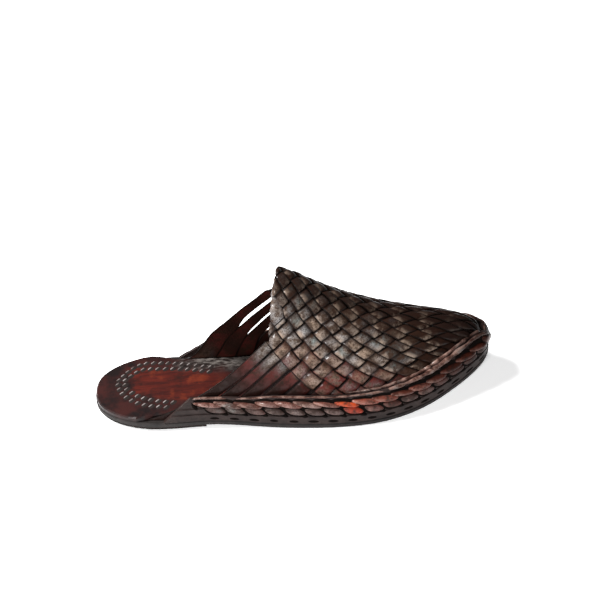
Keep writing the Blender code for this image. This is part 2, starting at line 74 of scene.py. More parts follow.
# Where the upper's foot stands inside the outline
UPPER_INSET = WALL_INSET + WALL + UPPER_FIT
# Share of the crest's height above which the wall follows the upper no further
STEEPEST = 0.85

# Plan of the outsole: station, near and far half width as shares of BALL_WIDTH
PLAN = (
    (0.000, 0.000, 0.000),
    (0.010, 0.150, 0.145),
    (0.035, 0.242, 0.237),
    (0.075, 0.318, 0.312),
    (0.125, 0.368, 0.362),
    (0.180, 0.385, 0.380),
    (0.260, 0.388, 0.362),
    (0.340, 0.408, 0.362),
    (0.430, 0.444, 0.400),
    (0.510, 0.478, 0.452),
    (0.590, 0.497, 0.490),
    (0.665, 0.492, 0.503),
    (0.740, 0.452, 0.488),
    (0.815, 0.372, 0.440),
    (0.880, 0.272, 0.365),
    (0.935, 0.175, 0.280),
    (0.975, 0.080, 0.185),
    (0.994, 0.000, 0.110),
    (1.000, -0.045, 0.055),
)

# Underside of the outsole: station, share of TOE_SPRING
SPRING = ((0.0, 0.0), (0.68, 0.0), (0.76, 0.06), (0.84, 0.22), (0.92, 0.55), (1.0, 1.0))
FLAT_START = 0.46

# Top line of the side wall: station, share of WALL_HEIGHT
RIM = (
    (0.17, 0.84), (0.35, 0.84), (0.44, 0.97), (0.52, 0.96), (0.62, 0.93),
    (0.80, 0.99), (0.92, 1.08), (0.96, 1.02), (0.985, 0.82), (1.0, 0.55),
)

# Crest of the upper: station, height as a share of VAMP_HEIGHT. What lies behind the throat
# only guides the straps.
RIDGE = (
    (0.00, 1.55), (0.20, 1.31), (0.458, 1.0), (0.505, 0.935), (0.55, 0.852), (0.65, 0.700),
    (0.75, 0.594), (0.83, 0.537), (0.89, 0.504), (0.94, 0.464), (0.975, 0.410), (1.00, 0.315),
)
# Roundness of the sections, from a pointed arch (1) to an ellipse (2): station, power
FULL = ((0.0, 1.0), (0.458, 1.02), (0.60, 1.22), (0.75, 1.42), (0.90, 1.60), (1.0, 1.70))
# Sideways place of the crest: station, share of BALL_WIDTH
SWAY = ((0.0, 0.0), (0.458, 0.01), (0.80, 0.035), (1.0, 0.05))
# How far the sections lean back towards their feet: station, run over rise
LEAN_BACK = ((0.0, 0.20), (0.458, 0.20), (0.65, 0.08), (0.80, 0.0), (1.0, 0.0))

# The collar's edge on the near and far side: share of the way from the crest to the collar's
# corner, distance behind the throat as a share of THROAT
NEAR_COLLAR = ((0.0, 0.0), (0.31, 0.023), (0.54, 0.018), (1.0, 0.0))
FAR_COLLAR = ((0.0, 0.0), (1.0, -0.05))
# Rear edge of the straps on the near and far side: share of the way from the collar's corner
# to the feather, distance behind the throat as a share of THROAT
NEAR_REAR = ((0.0, 0.0), (0.16, 0.068), (0.32, 0.128), (0.50, 0.180), (0.70, 0.190), (1.0, 0.190))
FAR_REAR = (
    (0.0, -0.05), (0.12, 0.012), (0.265, 0.079), (0.40, 0.129), (0.565, 0.177), (0.715, 0.230),
    (1.0, 0.250),
)
OUTLINE_STEPS = 60

# Camera of the photograph
CAMERA_AT = (0.0235, -0.5906, 0.5030)
CAMERA_TARGET = (0.1079, 0.0965, 0.0)
CAMERA_LENS = 70.0
CAMERA_SENSOR = 36.0

# Light: name, place, width and power; all of them aim at LIGHT_TARGET
LIGHTS = (
    ("key", (-0.62, 0.12, 0.95), 0.42, 36.0),
    ("front", (-0.30, -1.00, 0.55), 0.24, 11.0),
)
LIGHT_TARGET = (0.09, 0.0, 0.03)
WORLD_LIGHT = 0.06
FLOOR_GLOW = 0.48
FLOOR_HALF = 6.0
FLOOR_COLOUR = (0.93, 0.93, 0.93)
FLOOR_ROUGHNESS = 0.9
WHITE = (1.0, 1.0, 1.0)

# The upper's face: sections along it, points across, first section as a share of THROAT, how
# much closer the sections lie at the toe, how sharply the last ones follow the toe's own curve
SHELL_ROWS = 120
SHELL_COLUMNS = 81
SHELL_FIRST = 0.25
SHELL_CROWD = 1.6
SHELL_TOE = 8
RASTER_ROWS = 240
RASTER_COLUMNS = 181
RAIL_STEPS = 160
SHARP_ANGLE = 50.0

# The weave: lattice lines a (down and back on the near side) and b (down and forward), as
# polynomials of the place (s, t) on the upper in units of 100 mm
ALONG = (-1.719, 19.317, -4.46, 1.17, -8.283)
ACROSS = (-5.172, 15.654, 12.845, -2.272, -7.377)
LATTICE_UNIT = 0.1
NEWTON_STEPS = 30
NEWTON_SHARE = 0.7
S_RANGE = (-1.2, 1.7)
T_MOST = 1.25
# First strips of both families, the end of their count, first straps that run on to the sole
FIRST_A = -6
FIRST_B = -2
STRIPS_END = 22
FIRST_NEAR_STRAP = 0
FIRST_FAR_STRAP = 5
# Strips: half widths and the random part of a width, in cells; thickness and levels in metres
A_HALF = 0.420
B_HALF = 0.450
HALF_SPREAD = 0.025
STRIP_THICK = 0.0010
OVER = 0.00088
UNDER = -0.00070
STRAP_LEVEL = 0.00025
ARCH = 0.00050
# Share of a cell in which a strip climbs onto its neighbour, and in which it dives below it
CLIMB = 0.22
DIVE = 0.05
# Sideways drift (in cells), lean and roll of single strips, with their waves per cell
DRIFT = 0.02
DRIFT_WAVE = 1.3
TILT = 0.00008
TILT_WAVE = 0.9
CELL_ROLL = 0.00026
ROLL_CELLS = range(-30, 31)
# The uv along a strip at the middle of a cell where it lies on top
CELL_MIDDLE = 0.25
# Run of a strip in cells and its steps, how far it may pass the upper's edges, and how far a
# place may be off its lattice line
RUN_CELLS = (-26.0, 30.0)
STEPS_PER_CELL = 7
OVERRUN = 0.004
CORNER_MARGIN = 0.003
REAR_MARGIN = 0.001
LATTICE_MISS = 0.3
# Girth of the feather that the rear edge tables end at, and the strips' fold over the collar
FEATHER_GIRTH = 0.104
FOLD_RADIUS = 0.0013
FOLD_LEAST = 0.0004
FOLD_CENTRE = -0.0008
FOLD_TAIL = 0.006
NEAR_FOLD_END = -NEAR_GIRTH + 0.004
FAR_FOLD_END = FAR_GIRTH - 0.002
# Section of a strip: place across (-1 to 1), height as a share of its thickness
STRIP_SECTION = np.array((
    (-1.00, -0.42), (-0.92, -0.13), (-0.50, 0.04), (0.0, 0.10), (0.50, 0.04), (0.92, -0.13),
    (1.00, -0.42), (0.96, -1.0), (-0.96, -1.0),
))

# Straps of the far side, by lattice strip: sideways shift and half width where they fan out, and
# how far their slits shut again beyond FAR_MERGE. Places and lengths are in cells.
FAR_FAN = {5: (-0.46, 0.51), 6: (-0.12, 0.49), 7: (0.03, 0.47), 8: (0.12, 0.46), 9: (0.12, 0.47)}
FAN_START = -4.3
FAN_LENGTH = 1.9
FAR_SHUT = {5: 0.21, 6: 0.13, 7: 0.09, 8: 0.06}
FAR_MERGE = -8.4
FAR_MERGE_LENGTH = 1.1
# Shift of the far straps onto the upper's rear edge: the lattice line at their rear and the
# cells it is read over, the cells in which the shift sets in, the girths of its table, the share
# of it that is used, and the window that smooths it
FAR_REAR_LINE = 4.60
FAR_REAR_RUN = (-4.0, -16.0, 200)
FAR_FREE_LENGTH = 2.0
FAR_REACH = (0.03, 0.112, 83)
FAR_SHARE = 0.75
FAR_WINDOW = 19
# Straps of the near side: half width, where they widen, and their bend towards the heel
NEAR_STRAP_HALF = 0.455
NEAR_WIDE_START = FIRST_B + 0.5
NEAR_WIDE_LENGTH = 1.2
NEAR_BEND = 0.22
NEAR_BEND_START = -5.4
# The wide strip at the collar's near edge: shift and half width, where it widens, the strips it
# covers, the run in which it has one plain tone, and the s up to which its crossings are pale
COLLAR_STRIP = -1
COLLAR_WIDE = (0.12, 0.66)
COLLAR_WIDE_END = -0.2
COLLAR_WIDE_LENGTH = 0.8
UNDER_COLLAR = (-4, -3, -2, -1)
COLLAR_PLAIN = (-3.6, -0.35)
COLLAR_FRONT = 0.02

# Lining: rows, columns, depth below the face, the girths where it stops at the collar and how
# fast these widen forwards, and its distance from the rear edge
LINING_ROWS = 90
LINING_COLUMNS = 61
LINING_DEPTH = 0.00175
LINING_NEAR = NEAR_GIRTH + 0.002
LINING_FAR = FAR_GIRTH - 0.009
LINING_WIDEN = 1.1
LINING_REAR = 0.003

# Tones are four numbers: grey painted sheen, red, darkness and a free random one, which COLLAR_TONE lacks
BLACK_TONE = (0.0, 0.0, 1.0, 0.5)
COLLAR_TONE = (0.95, 0.0, 0.0)
COLLAR_PLAIN_TONE = (0.85, 0.0, 0.0, 0.1)
# Fades of the woven cells' tones, as start and length in metres: those named GIRTH, FOOT and
# CREST go by girth, the others by s
SHEEN_GIRTH = (0.004, 0.034)
SHEEN_TOE = (0.050, 0.060)
SHEEN_FOOT = (0.055, 0.02)
RED_GIRTH = (0.040, 0.022)
RED_START = (-0.005, 0.03)
DARK_CREST = (0.002, 0.026)
DARK_TOE = (0.100, 0.025)

# Side wall: where its run starts (station), the first and last lobe of the cord and the ends of
# the rolled rim (x in metres), and the pitch of the lacing
WALL_START = 0.10
BRAID_FIRST_X = 0.0655
BRAID_LAST_X = 0.0870
RIM_FIRST_X = 0.0615
RIM_LAST_X = 0.0800
LOBE_PITCH = 0.0126
# Its face as a grid: rows up to a share of the height, columns along the run, and how far
# outwards a second rail is laid to find the way out
FACE_ROWS = 41
FACE_TOP = 1.12
FACE_COLUMNS = 481
FACE_OFFSET = 0.001

# Pads of the lacing: place ahead on the run, share of the wall's height, half length, half
# height, slant (how far the top lies back), thickness, rise from the wall, squareness. Lengths
# are in metres. _TOE is what a pad gains at the toe, _VARIES how far some columns vary.
# CORD_SHARE and END_SHARE are the shares at which the wall's height is read.
# The black pads round the cord's leaves and the lobes, and those in the stitch holes, are painted shade.
CORD_SHARE = 0.7
CORD_GAP_SHADE = np.array((0.0008, 0.730, 0.0098, 0.0040, 0.0044, 0.0009, -0.0006, 2.4))
CORD_GAP_SHADE_TOE = np.array((0.0, -0.05, 0.0, 0.0012, 0.0, 0.0, 0.0, 0.0))
CORD_LEAF = np.array((0.0, 0.735, 0.0079, 0.0027, 0.0054, 0.0029, -0.0008, 1.9))
CORD_LEAF_TOE = np.array((0.0, -0.05, 0.0, 0.0008, 0.0, 0.0006, 0.0, 0.0))
CORD_LEAF_VARIES = np.array((0.0008, 0.05, 0.0016, 0.0007, 0.002))
LOBE_GAP_SHADE = np.array((0.0045, 0.445, 0.0069, 0.0036, 0.0026, 0.0007, -0.0005, 2.6))
LOBE = np.array((0.0045, 0.465, 0.0058, 0.0028, 0.0026, 0.0017, -0.0006, 2.6))
LOBE_VARIES = np.array((0.001, 0.02))
UPPER_HOLE = np.array((0.0098, 0.300, 0.0026, 0.0014, 0.0014, 0.0008, -0.0003, 2.0))
UPPER_HOLE_VARIES = np.array((0.03, 0.001))
LOWER_HOLE = np.array((0.0035, 0.095, 0.0032, 0.0010, 0.0004, 0.0007, -0.0003, 2.0))
LOWER_HOLE_VARIES = np.array((0.02, 0.001))
END_HOLE = np.array((-0.0020, 0.62, 0.0014, 0.0026, 0.0012, 0.0008, -0.0003, 2.0))
END_SHARE = 0.6
# Rings of a pad as shares of its size, the depth of its foot ring and the powers of its crown
PAD_AROUND = 20
PAD_RINGS = (1.0, 0.93, 0.78, 0.5, 0.2)
PAD_FOOT = -0.45
PAD_CROWN = (2.2, 0.55)
# Stations of the wall's colours: bells as middle and width, fades as start and length
RED_PATCH = (0.602, 0.020)
RED_BEYOND = (0.68, 0.05)
RED_TOE = (0.74, 0.08)
WALL_DARK = (0.65, 0.05)
WALL_DARKER = (0.78, 0.10)
LACING_TOE = (0.70, 0.2)

# Rolled rim: step along it, points round it, places of its random pinches and waves, share of
# the wall's height it lies on, then its sizes in metres, each with its gain at the toe, two
# fades by station, and the window that smooths its place
RIM_STEP = 0.0012
RIM_AROUND = 10
RIM_PINCHES = 90
RIM_WAVES = 60
RIM_SHARE = 0.985
RIM_WIDE = (0.00095, 0.0006)
RIM_TALL = (0.00080, 0.0008)
RIM_SWAY = (0.0006, 0.0018)
RIM_RISE = (0.0007, 0.0020)
RIM_TOE = (0.62, 0.2)
RIM_DARK = (0.86, 0.10)
RIM_WINDOW = 11
# Swell of the rim: its least share, and what the pinches and chance add
SWELL_LEAST = 0.70
SWELL_PINCH = 0.32
SWELL_FREE = 0.55
# Folds of the rim: first and last x, inset from the wall's face, lift, size, length of its taper
RIM_FOLD = ((RIM_FIRST_X, RIM_LAST_X), 0.0011, -0.0003, 1.0, RIM_STEP)
TOE_FOLD = ((0.160, 0.160), 0.0038, 0.0010, 0.85, 0.014)

# Stamped notches of the insole, in mm from the heel's back
STAMP_OUTER = (
    (78.1, 14.8), (70.2, 16.8), (59.1, 20.3), (42.5, 23.4), (33.2, 24.1), (25.8, 20.7), (18.6, 13.2),
    (14.6, 6.0), (15.3, 0.8), (17.9, -5.6), (24.9, -13.9), (33.8, -18.9), (42.6, -21.2), (47.7, -22.5),
)
STAMP_INNER = (
    (77.1, 9.9), (70.0, 12.1), (58.8, 15.1), (42.3, 17.3), (32.4, 18.0), (23.1, 12.1), (19.2, 7.0),
    (19.2, 2.3), (23.4, -4.7), (30.7, -11.1), (43.1, -16.1), (52.3, -18.2),
)
STAMP_PITCH = 0.0048
STAMP_LEAN = 0.75
STAMP_AROUND = 10
# Lip and pit of a notch: sideways shift, half length, half width, height
STAMP_LIP = (0.0007, 0.0018, 0.00052, 0.00045)
STAMP_PIT = (-0.0005, 0.0026, 0.0014, 0.00006)
# Rings of a notch: share of its size, share of its height; the first is a foot below the insole
STAMP_FOOT = -0.0002
STAMP_RINGS = ((1.0, 0.25), (0.72, 0.85), (0.3, 1.0))

# Leathers of strips: brown base, silver and gold painted sheen, red, roughness and coat
STRIPS = (
    (0.024, 0.010, 0.006), (0.255, 0.243, 0.240), (0.270, 0.195, 0.145), (0.070, 0.010, 0.008), 0.36, 0.40,
)
CORD = (
    (0.040, 0.013, 0.009), (0.32, 0.235, 0.215), (0.25, 0.165, 0.135), (0.36, 0.046, 0.012), 0.32, 0.5,
)
LACING = (
    (0.030, 0.018, 0.015), (0.135, 0.108, 0.100), (0.12, 0.085, 0.072), (0.26, 0.030, 0.014), 0.36, 0.25,
)
COOL_SHEEN = (0.175, 0.190, 0.180)
DEEP_BROWN = (0.010, 0.005, 0.004)
# black of the painted shade at the strips' edges and dips
GAP_SHADE_BLACK = (0.004, 0.0025, 0.002)
# Plain leathers: two colours, roughness, coat and gloss
PLAIN = {
    # the lining's near black is painted shade in the gaps between the strips
    "lining_and_gap_shade": ((0.006, 0.003, 0.003), (0.014, 0.006, 0.005), 0.7, 0.0, 0.18),
    "hole_shade": ((0.003, 0.002, 0.002), (0.006, 0.004, 0.003), 0.8, 0.0, 0.02),
    # the lips' light grey and coat are a painted glint, the pits' near black is painted shade in the
    # pressed notches
    "stamp_lip_glint": ((0.08, 0.06, 0.055), (0.32, 0.29, 0.28), 0.28, 0.5, 0.18),
    "stamp_pit_shade": ((0.008, 0.005, 0.004), (0.015, 0.008, 0.007), 0.6, 0.0, 0.18),
    "lift_finish": ((0.010, 0.007, 0.006), (0.022, 0.015, 0.013), 0.6, 0.0, 0.18),
    "sole_finish": ((0.008, 0.006, 0.0055), (0.019, 0.014, 0.013), 0.52, 0.02, 0.18),
    "wall_finish": ((0.010, 0.0050, 0.0042), (0.027, 0.016, 0.014), 0.46, 0.02, 0.14),
}
# Noises as scale, detail and roughness
STRIP_GRAIN = (1100.0, 5.0, 0.7)
STRIP_PATCH = (230.0, 4.0, 0.65)
STRIP_BROAD = (70.0, 2.0, 0.5)
PLAIN_PATCH = (160.0, 5.0, 0.62)
PLAIN_GRAIN = (960.0, 5.0, 0.7)
INSOLE_PATCH = (75.0, 5.0, 0.6)
INSOLE_GRAIN = (800.0, 5.0, 0.7)
INSOLE_WARP = (60.0, 4.0, 0.6)
FIBRE = (1.0, 4.0, 0.6)
FIBRE_SCALE = (60.0, 420.0, 60.0)
SCRATCH = (1.0, 6.0, 0.7)
SCRATCH_SCALE = (180.0, 520.0, 180.0)
SCRATCH_TURN = (0.0, 0.0, -0.6)
# Colours of the insole in pairs that a noise mixes: panel, rim, and scratched waist
OXBLOOD = ((0.062, 0.0085, 0.0050), (0.025, 0.0050, 0.0040))
BRIGHT_RED = (0.085, 0.014, 0.006)
INSOLE_RIM = ((0.007, 0.004, 0.004), (0.026, 0.007, 0.006))
WAIST_GREY = ((0.009, 0.006, 0.005), (0.105, 0.092, 0.084))
# Bounds of the oxblood panel, in the frame's metres: its slanted middle line, then fades as the
# places where they are 0 and 1
PANEL_MIDDLE = 0.0035
PANEL_SLANT = 0.20
PANEL_SIDE = (0.0165, 0.0125)
PANEL_FRONT = (0.050, 0.040)
PANEL_BACK = (-0.0185, -0.0135)
WAIST_X = (0.012, 0.034)
WAIST_Y = (0.010, 0.020)

RANDOM = np.random.default_rng(7)


def follow(rows, station):
    """A smooth curve without overshoot through the rows (station, value)."""
    table = np.asarray(rows, float)
    xs = table[:, 0]
    ys = table[:, 1]
    step = np.diff(xs)
    slope = np.diff(ys) / step
    tangent = np.zeros(len(xs))
    tangent[0] = slope[0]
    tangent[-1] = slope[-1]
    for k in range(1, len(xs) - 1):
        if slope[k - 1] * slope[k] > 0.0:
            before = 2.0 * step[k] + step[k - 1]
            after = step[k] + 2.0 * step[k - 1]
            tangent[k] = (before + after) / (before / slope[k - 1] + after / slope[k])
    x = np.clip(station, xs[0], xs[-1])
    k = np.clip(np.searchsorted(xs, x) - 1, 0, len(xs) - 2)
    u = (x - xs[k]) / step[k]
    start = (1.0 + 2.0 * u) * (1.0 - u) ** 2 * ys[k] + u * (1.0 - u) ** 2 * step[k] * tangent[k]
    finish = u * u * (3.0 - 2.0 * u) * ys[k + 1] + u * u * (u - 1.0) * step[k] * tangent[k + 1]
    return start + finish


def ease(value):
    """0 to 1 with level ends."""
    u = np.clip(value, 0.0, 1.0)
    return u * u * (3.0 - 2.0 * u)


def fade(value, start, length):
    """0 up to start, 1 from start + length on, with level ends."""
    return ease((value - start) / length)


def bell(value, middle, width):
    return np.exp(-((value - middle) / width) ** 2)


def unit(vectors):
    return vectors / np.maximum(np.linalg.norm(vectors, axis=-1), 1e-9)[..., None]


def smoothed(values, window):
    """Values averaged under a window, with their ends held."""
    padded = np.pad(values, len(window) // 2, mode="edge")
    return np.convolve(padded, window / window.sum(), mode="valid")


def read(table, row, column):
    """A table of vectors, read at places between its rows and columns."""
    i = np.clip(row.astype(int), 0, table.shape[0] - 2)
    k = np.clip(column.astype(int), 0, table.shape[1] - 2)
    u = (row - i)[..., None]
    v = (column - k)[..., None]
    low = table[i, k] * (1.0 - v) + table[i, k + 1] * v
    high = table[i + 1, k] * (1.0 - v) + table[i + 1, k + 1] * v
    return low * (1.0 - u) + high * u


def closed_spline(points, steps):
    """Centripetal spline through a closed ring of points."""
    ring = np.asarray(points, float)
    count = len(ring)
    gaps = np.sqrt(np.linalg.norm(np.roll(ring, -1, 0) - ring, axis=1))
    pieces = []
    for i in range(count):
        p0 = ring[i - 1]
        p1 = ring[i]
        p2 = ring[(i + 1) % count]
        p3 = ring[(i + 2) % count]
        t1 = gaps[i - 1]
        t2 = t1 + gaps[i]
        t3 = t2 + gaps[(i + 1) % count]
        t = np.linspace(t1, t2, steps, endpoint=False)[:, None]
        a1 = (t1 - t) / t1 * p0 + t / t1 * p1
        a2 = (t2 - t) / (t2 - t1) * p1 + (t - t1) / (t2 - t1) * p2
        a3 = (t3 - t) / (t3 - t2) * p2 + (t - t2) / (t3 - t2) * p3
        b1 = (t2 - t) / t2 * a1 + t / t2 * a2
        b2 = (t3 - t) / (t3 - t1) * a2 + (t - t1) / (t3 - t1) * a3
        pieces.append((t2 - t) / (t2 - t1) * b1 + (t - t1) / (t2 - t1) * b2)
    return np.concatenate(pieces)


def plan_edges():
    """The outline's near and far edge, each from the heel's back to the toe's tip."""
    near = [(s * LENGTH, -n * BALL_WIDTH) for s, n, f in PLAN]
    far = [(s * LENGTH, f * BALL_WIDTH) for s, n, f in PLAN[1:]]
    ring = closed_spline(near + far[::-1], OUTLINE_STEPS)
    ring = np.roll(ring, -int(np.argmin(ring[:, 0])), axis=0)
    tip = int(np.argmax(ring[:, 0]))
    return ring[: tip + 1], np.vstack([ring[tip:], ring[:1]])[::-1]


NEAR_EDGE, FAR_EDGE = plan_edges()
TIP = NEAR_EDGE[-1]


def sides(x, inset):
    """Near and far y of the outline moved in by inset, at each x."""
    x = np.asarray(x, float)
    inset = np.broadcast_to(np.maximum(inset, 1e-6), x.shape)
    out = []
    for edge, sign in ((NEAR_EDGE, 1.0), (FAR_EDGE, -1.0)):
        dx = x[:, None] - edge[None, :, 0]
        reach = np.sqrt(np.maximum(inset[:, None] ** 2 - dx ** 2, 0.0))
        moved = np.where(np.abs(dx) <= inset[:, None], sign * edge[None, :, 1] + reach, -1.0)
        plain = sign * np.interp(x, edge[:, 0], edge[:, 1])
        out.append(sign * np.maximum(moved.max(axis=1), plain))
    middle = 0.5 * (out[0] + out[1])
    return np.minimum(out[0], middle), np.maximum(out[1], middle)


def sole_line(x):
    """Height of the outsole's underside: on the heel lift, on the floor, then the toe spring."""
    start = LIFT_LENGTH + GAP
    waist = (x - start) / (FLAT_START * LENGTH - start)
    return (LIFT + GAP) * (1.0 - ease(waist)) + TOE_SPRING * follow(SPRING, x / LENGTH)


def outsole_top(x):
    return sole_line(x) + OUTSOLE


def crest_height(x):
    return VAMP_HEIGHT * follow(RIDGE, x / LENGTH)


def lean_in(x, rise):
    """How far the face of the upper has come in from its feather at a rise above it."""
    foot = outsole_top(x) + GAP
    crest = x + follow(LEAN_BACK, x / LENGTH) * (crest_height(x) - foot - rise)
    share = np.clip(rise / (crest_height(crest) - foot), 0.0, STEEPEST)
    near, far = sides(x, UPPER_INSET)
    return 0.5 * (far - near) * (1.0 - np.sqrt(1.0 - share ** follow(FULL, crest / LENGTH)))


def wall_rise(x, share):
    return WALL_HEIGHT * follow(RIM, x / LENGTH) * share


def wall_point(x, share):
    """Height of the side wall at a share of its own height."""
    return outsole_top(x) + GAP + wall_rise(x, share)


def wall_inset(x, share):
    """How far the wall is from the outline: it leans in with the upper, clear of its strips."""
    lean = lean_in(x, wall_rise(x, share)) - (RAISE + WALL_FIT) * share
    return WALL_INSET + np.maximum(lean, 0.0)


def rail(inset_at, near_start, far_start, shares):
    """Points along the outline moved in by inset_at(x), from the near end round the toe."""
    tip_x = TIP[0] - float(inset_at(TIP[:1])[0])
    sweep = np.sin(np.linspace(0.0, 0.5 * math.pi, RAIL_STEPS))
    near_x = near_start + (tip_x - near_start) * sweep
    far_x = far_start + (tip_x - far_start) * sweep
    near = sides(near_x, inset_at(near_x))[0]
    far = sides(far_x, inset_at(far_x))[1]
    path = np.vstack([np.stack([near_x, near], 1), np.stack([far_x, far], 1)[::-1]])
    run = np.concatenate([[0.0], np.cumsum(np.linalg.norm(np.diff(path, axis=0), axis=1))])
    at = shares * run[-1]
    return np.stack([np.interp(at, run, path[:, 0]), np.interp(at, run, path[:, 1])], 1), run[-1]


def shell_rows():
    """Outer face of the upper as in the CAD: crest run, girths, points and normals."""
    first = SHELL_FIRST * THROAT
    last = TIP[0] - UPPER_INSET - TOE_STOP
    share = 1.0 - (1.0 - np.linspace(0.0, 1.0, SHELL_ROWS)) ** SHELL_CROWD
    crest_x = first + (last - first) * share
    station = (crest_x + (crest_x / last) ** SHELL_TOE * (LENGTH - last)) / LENGTH
    top = crest_height(station * LENGTH)
    power = follow(FULL, station)
    lean = follow(LEAN_BACK, station)
    sway = follow(SWAY, station) * BALL_WIDTH
    angle = np.linspace(-0.5 * math.pi, 0.5 * math.pi, SHELL_COLUMNS)
    grid = np.zeros((SHELL_ROWS, SHELL_COLUMNS, 3))
    for i in range(SHELL_ROWS):
        rise = np.cos(angle) ** (2.0 / power[i])
        foot = outsole_top(crest_x[i]) + GAP
        x = crest_x[i] - lean[i] * (top[i] - foot) * (1.0 - rise)
        foot = outsole_top(x) + GAP
        near, far = sides(x, UPPER_INSET)
        reach = np.where(angle < 0.0, sway[i] - near, far - sway[i])
        y = sway[i] + reach * np.sin(angle)
        grid[i] = np.stack([x, y, foot + (top[i] - foot) * rise], 1)
    middle = SHELL_COLUMNS // 2
    along = np.linalg.norm(np.diff(grid[:, middle], axis=0), axis=1)
    run = np.concatenate([[0.0], np.cumsum(along)])
    run -= np.interp(THROAT, crest_x, run)
    across = np.linalg.norm(np.diff(grid, axis=1), axis=2)
    girth = np.concatenate([np.zeros((SHELL_ROWS, 1)), np.cumsum(across, axis=1)], axis=1)
    girth -= girth[:, middle][:, None]
    normal = np.cross(np.gradient(grid, axis=0), np.gradient(grid, axis=1))
    return run, girth, grid, unit(normal)


class Last:
    """The upper's outer face, read at many places (s, t) at once."""

    def __init__(self):
        run, girth, grid, normal = shell_rows()
        self.s = np.linspace(run[0], run[-1], RASTER_ROWS)
        self.share = np.linspace(-1.0, 1.0, RASTER_COLUMNS)
        self.near = np.interp(self.s, run, -girth[:, 0])
        self.far = np.interp(self.s, run, girth[:, -1])
        self.points = np.zeros((RASTER_ROWS, RASTER_COLUMNS, 3))
        self.normals = np.zeros((RASTER_ROWS, RASTER_COLUMNS, 3))
        for k, s in enumerate(self.s):
            i = min(max(int(np.searchsorted(run, s)) - 1, 0), len(run) - 2)
            u = (s - run[i]) / (run[i + 1] - run[i])
            rail_t = girth[i] * (1.0 - u) + girth[i + 1] * u
            points = grid[i] * (1.0 - u) + grid[i + 1] * u
            normals = normal[i] * (1.0 - u) + normal[i + 1] * u
            t = np.where(self.share < 0.0, self.share * self.near[k], self.share * self.far[k])
            for axis in range(3):
                self.points[k, :, axis] = np.interp(t, rail_t, points[:, axis])
                self.normals[k, :, axis] = np.interp(t, rail_t, normals[:, axis])
        self.end = float(run[-1])

    def feather(self, s, t):
        return np.where(t < 0.0, np.interp(s, self.s, self.near), np.interp(s, self.s, self.far))

    def place(self, s, t):
        """Points and normals at arrays of places, held inside the upper's lower edge."""
        s = np.clip(s, self.s[0], self.end)
        share = np.clip(t / self.feather(s, t), -1.0, 1.0)
        row = (s - self.s[0]) / (self.s[1] - self.s[0])
        column = (share + 1.0) * 0.5 * (RASTER_COLUMNS - 1)
        return read(self.points, row, column), unit(read(self.normals, row, column))


LAST = Last()


def lattice(s, t):
    """Lattice coordinates (a, b) of places on the upper."""
    s = s / LATTICE_UNIT
    side = np.where(t < 0.0, 1.0, -1.0)
    t = np.abs(t) / LATTICE_UNIT
    v = ALONG[0] + ALONG[1] * s + ALONG[2] * s * s + ALONG[3] * t * t + ALONG[4] * s * t * t
    lift = ACROSS[1] * t + ACROSS[2] * s * t + ACROSS[3] * t ** 3 + ACROSS[4] * s * t ** 3
    u = ACROSS[0] + side * lift
    return 0.5 * (v + u), 0.5 * (v - u)


def unlattice(a, b):
    """Places (s, t) of lattice coordinates, by Newton steps."""
    v = a + b
    u = a - b - ACROSS[0]
    side = np.where(u > 0.0, 1.0, -1.0)
    u = np.abs(u)
    s = (v - ALONG[0]) / ALONG[1]
    t = np.clip(u / (ACROSS[1] + ACROSS[2] * np.clip(s, 0.0, 1.4)), 0.0, 1.2)
    for _ in range(NEWTON_STEPS):
        value = ALONG[0] + ALONG[1] * s + ALONG[2] * s * s + (ALONG[3] + ALONG[4] * s) * t * t - v
        slope = ALONG[1] + 2.0 * ALONG[2] * s + ALONG[4] * t * t
        s = np.clip(s - NEWTON_SHARE * value / np.maximum(slope, 3.0), *S_RANGE)
        lift = ACROSS[1] * t + ACROSS[2] * s * t + (ACROSS[3] + ACROSS[4] * s) * t ** 3 - u
        slope = ACROSS[1] + ACROSS[2] * s + 3.0 * (ACROSS[3] + ACROSS[4] * s) * t * t
        t = np.clip(t - NEWTON_SHARE * lift / np.maximum(slope, 4.0), 0.0, T_MOST)
    return s * LATTICE_UNIT, -side * t * LATTICE_UNIT


def back_edge(t):
    """The collar's edge, then the straps' rear edge, as s at each t."""
    t = np.asarray(t, float)
    out = np.zeros(t.shape)
    for side, corner, collar, rear in (
        (-1.0, NEAR_GIRTH, NEAR_COLLAR, NEAR_REAR),
        (1.0, FAR_GIRTH, FAR_COLLAR, FAR_REAR),
    ):
        reach = side * t
        collar_s = -THROAT * follow(collar, np.clip(reach / corner, 0.0, 1.0))
        share = np.clip((reach - corner) / (FEATHER_GIRTH - corner), 0.0, 1.0)
        rear_s = -THROAT * follow(rear, share)
        out = np.where(reach >= 0.0, np.where(reach < corner, collar_s, rear_s), out)
    return out


def leather_place(s, t, up, fold):
    """Points over the upper at height up above its face; what passes the collar folds inwards."""
    edge = back_edge(t) + REAR_MARGIN
    beyond = np.where(fold, np.maximum(edge - s, 0.0), 0.0)
    radius = np.maximum(up - FOLD_CENTRE, FOLD_LEAST)
    angle = np.minimum(beyond / FOLD_RADIUS, math.pi)
    tail = np.maximum(beyond - math.pi * FOLD_RADIUS, 0.0)
    at = np.where(beyond > 0.0, edge - radius * np.sin(angle) + tail, s)
    height = np.where(beyond > 0.0, FOLD_CENTRE + radius * np.cos(angle), up)
    points, normals = LAST.place(at, t)
    low = outsole_top(points[..., 0].ravel()).reshape(at.shape)
    rim = wall_point(points[..., 0].ravel(), 1.0).reshape(at.shape)
    fade = np.clip((points[..., 2] - low) / (rim - low), 0.0, 1.0)
    height = np.where(height > 0.0, height * fade, height)
    out = points + normals * height[..., None]
    out[..., 2] = np.maximum(out[..., 2], low + GAP)
    return out


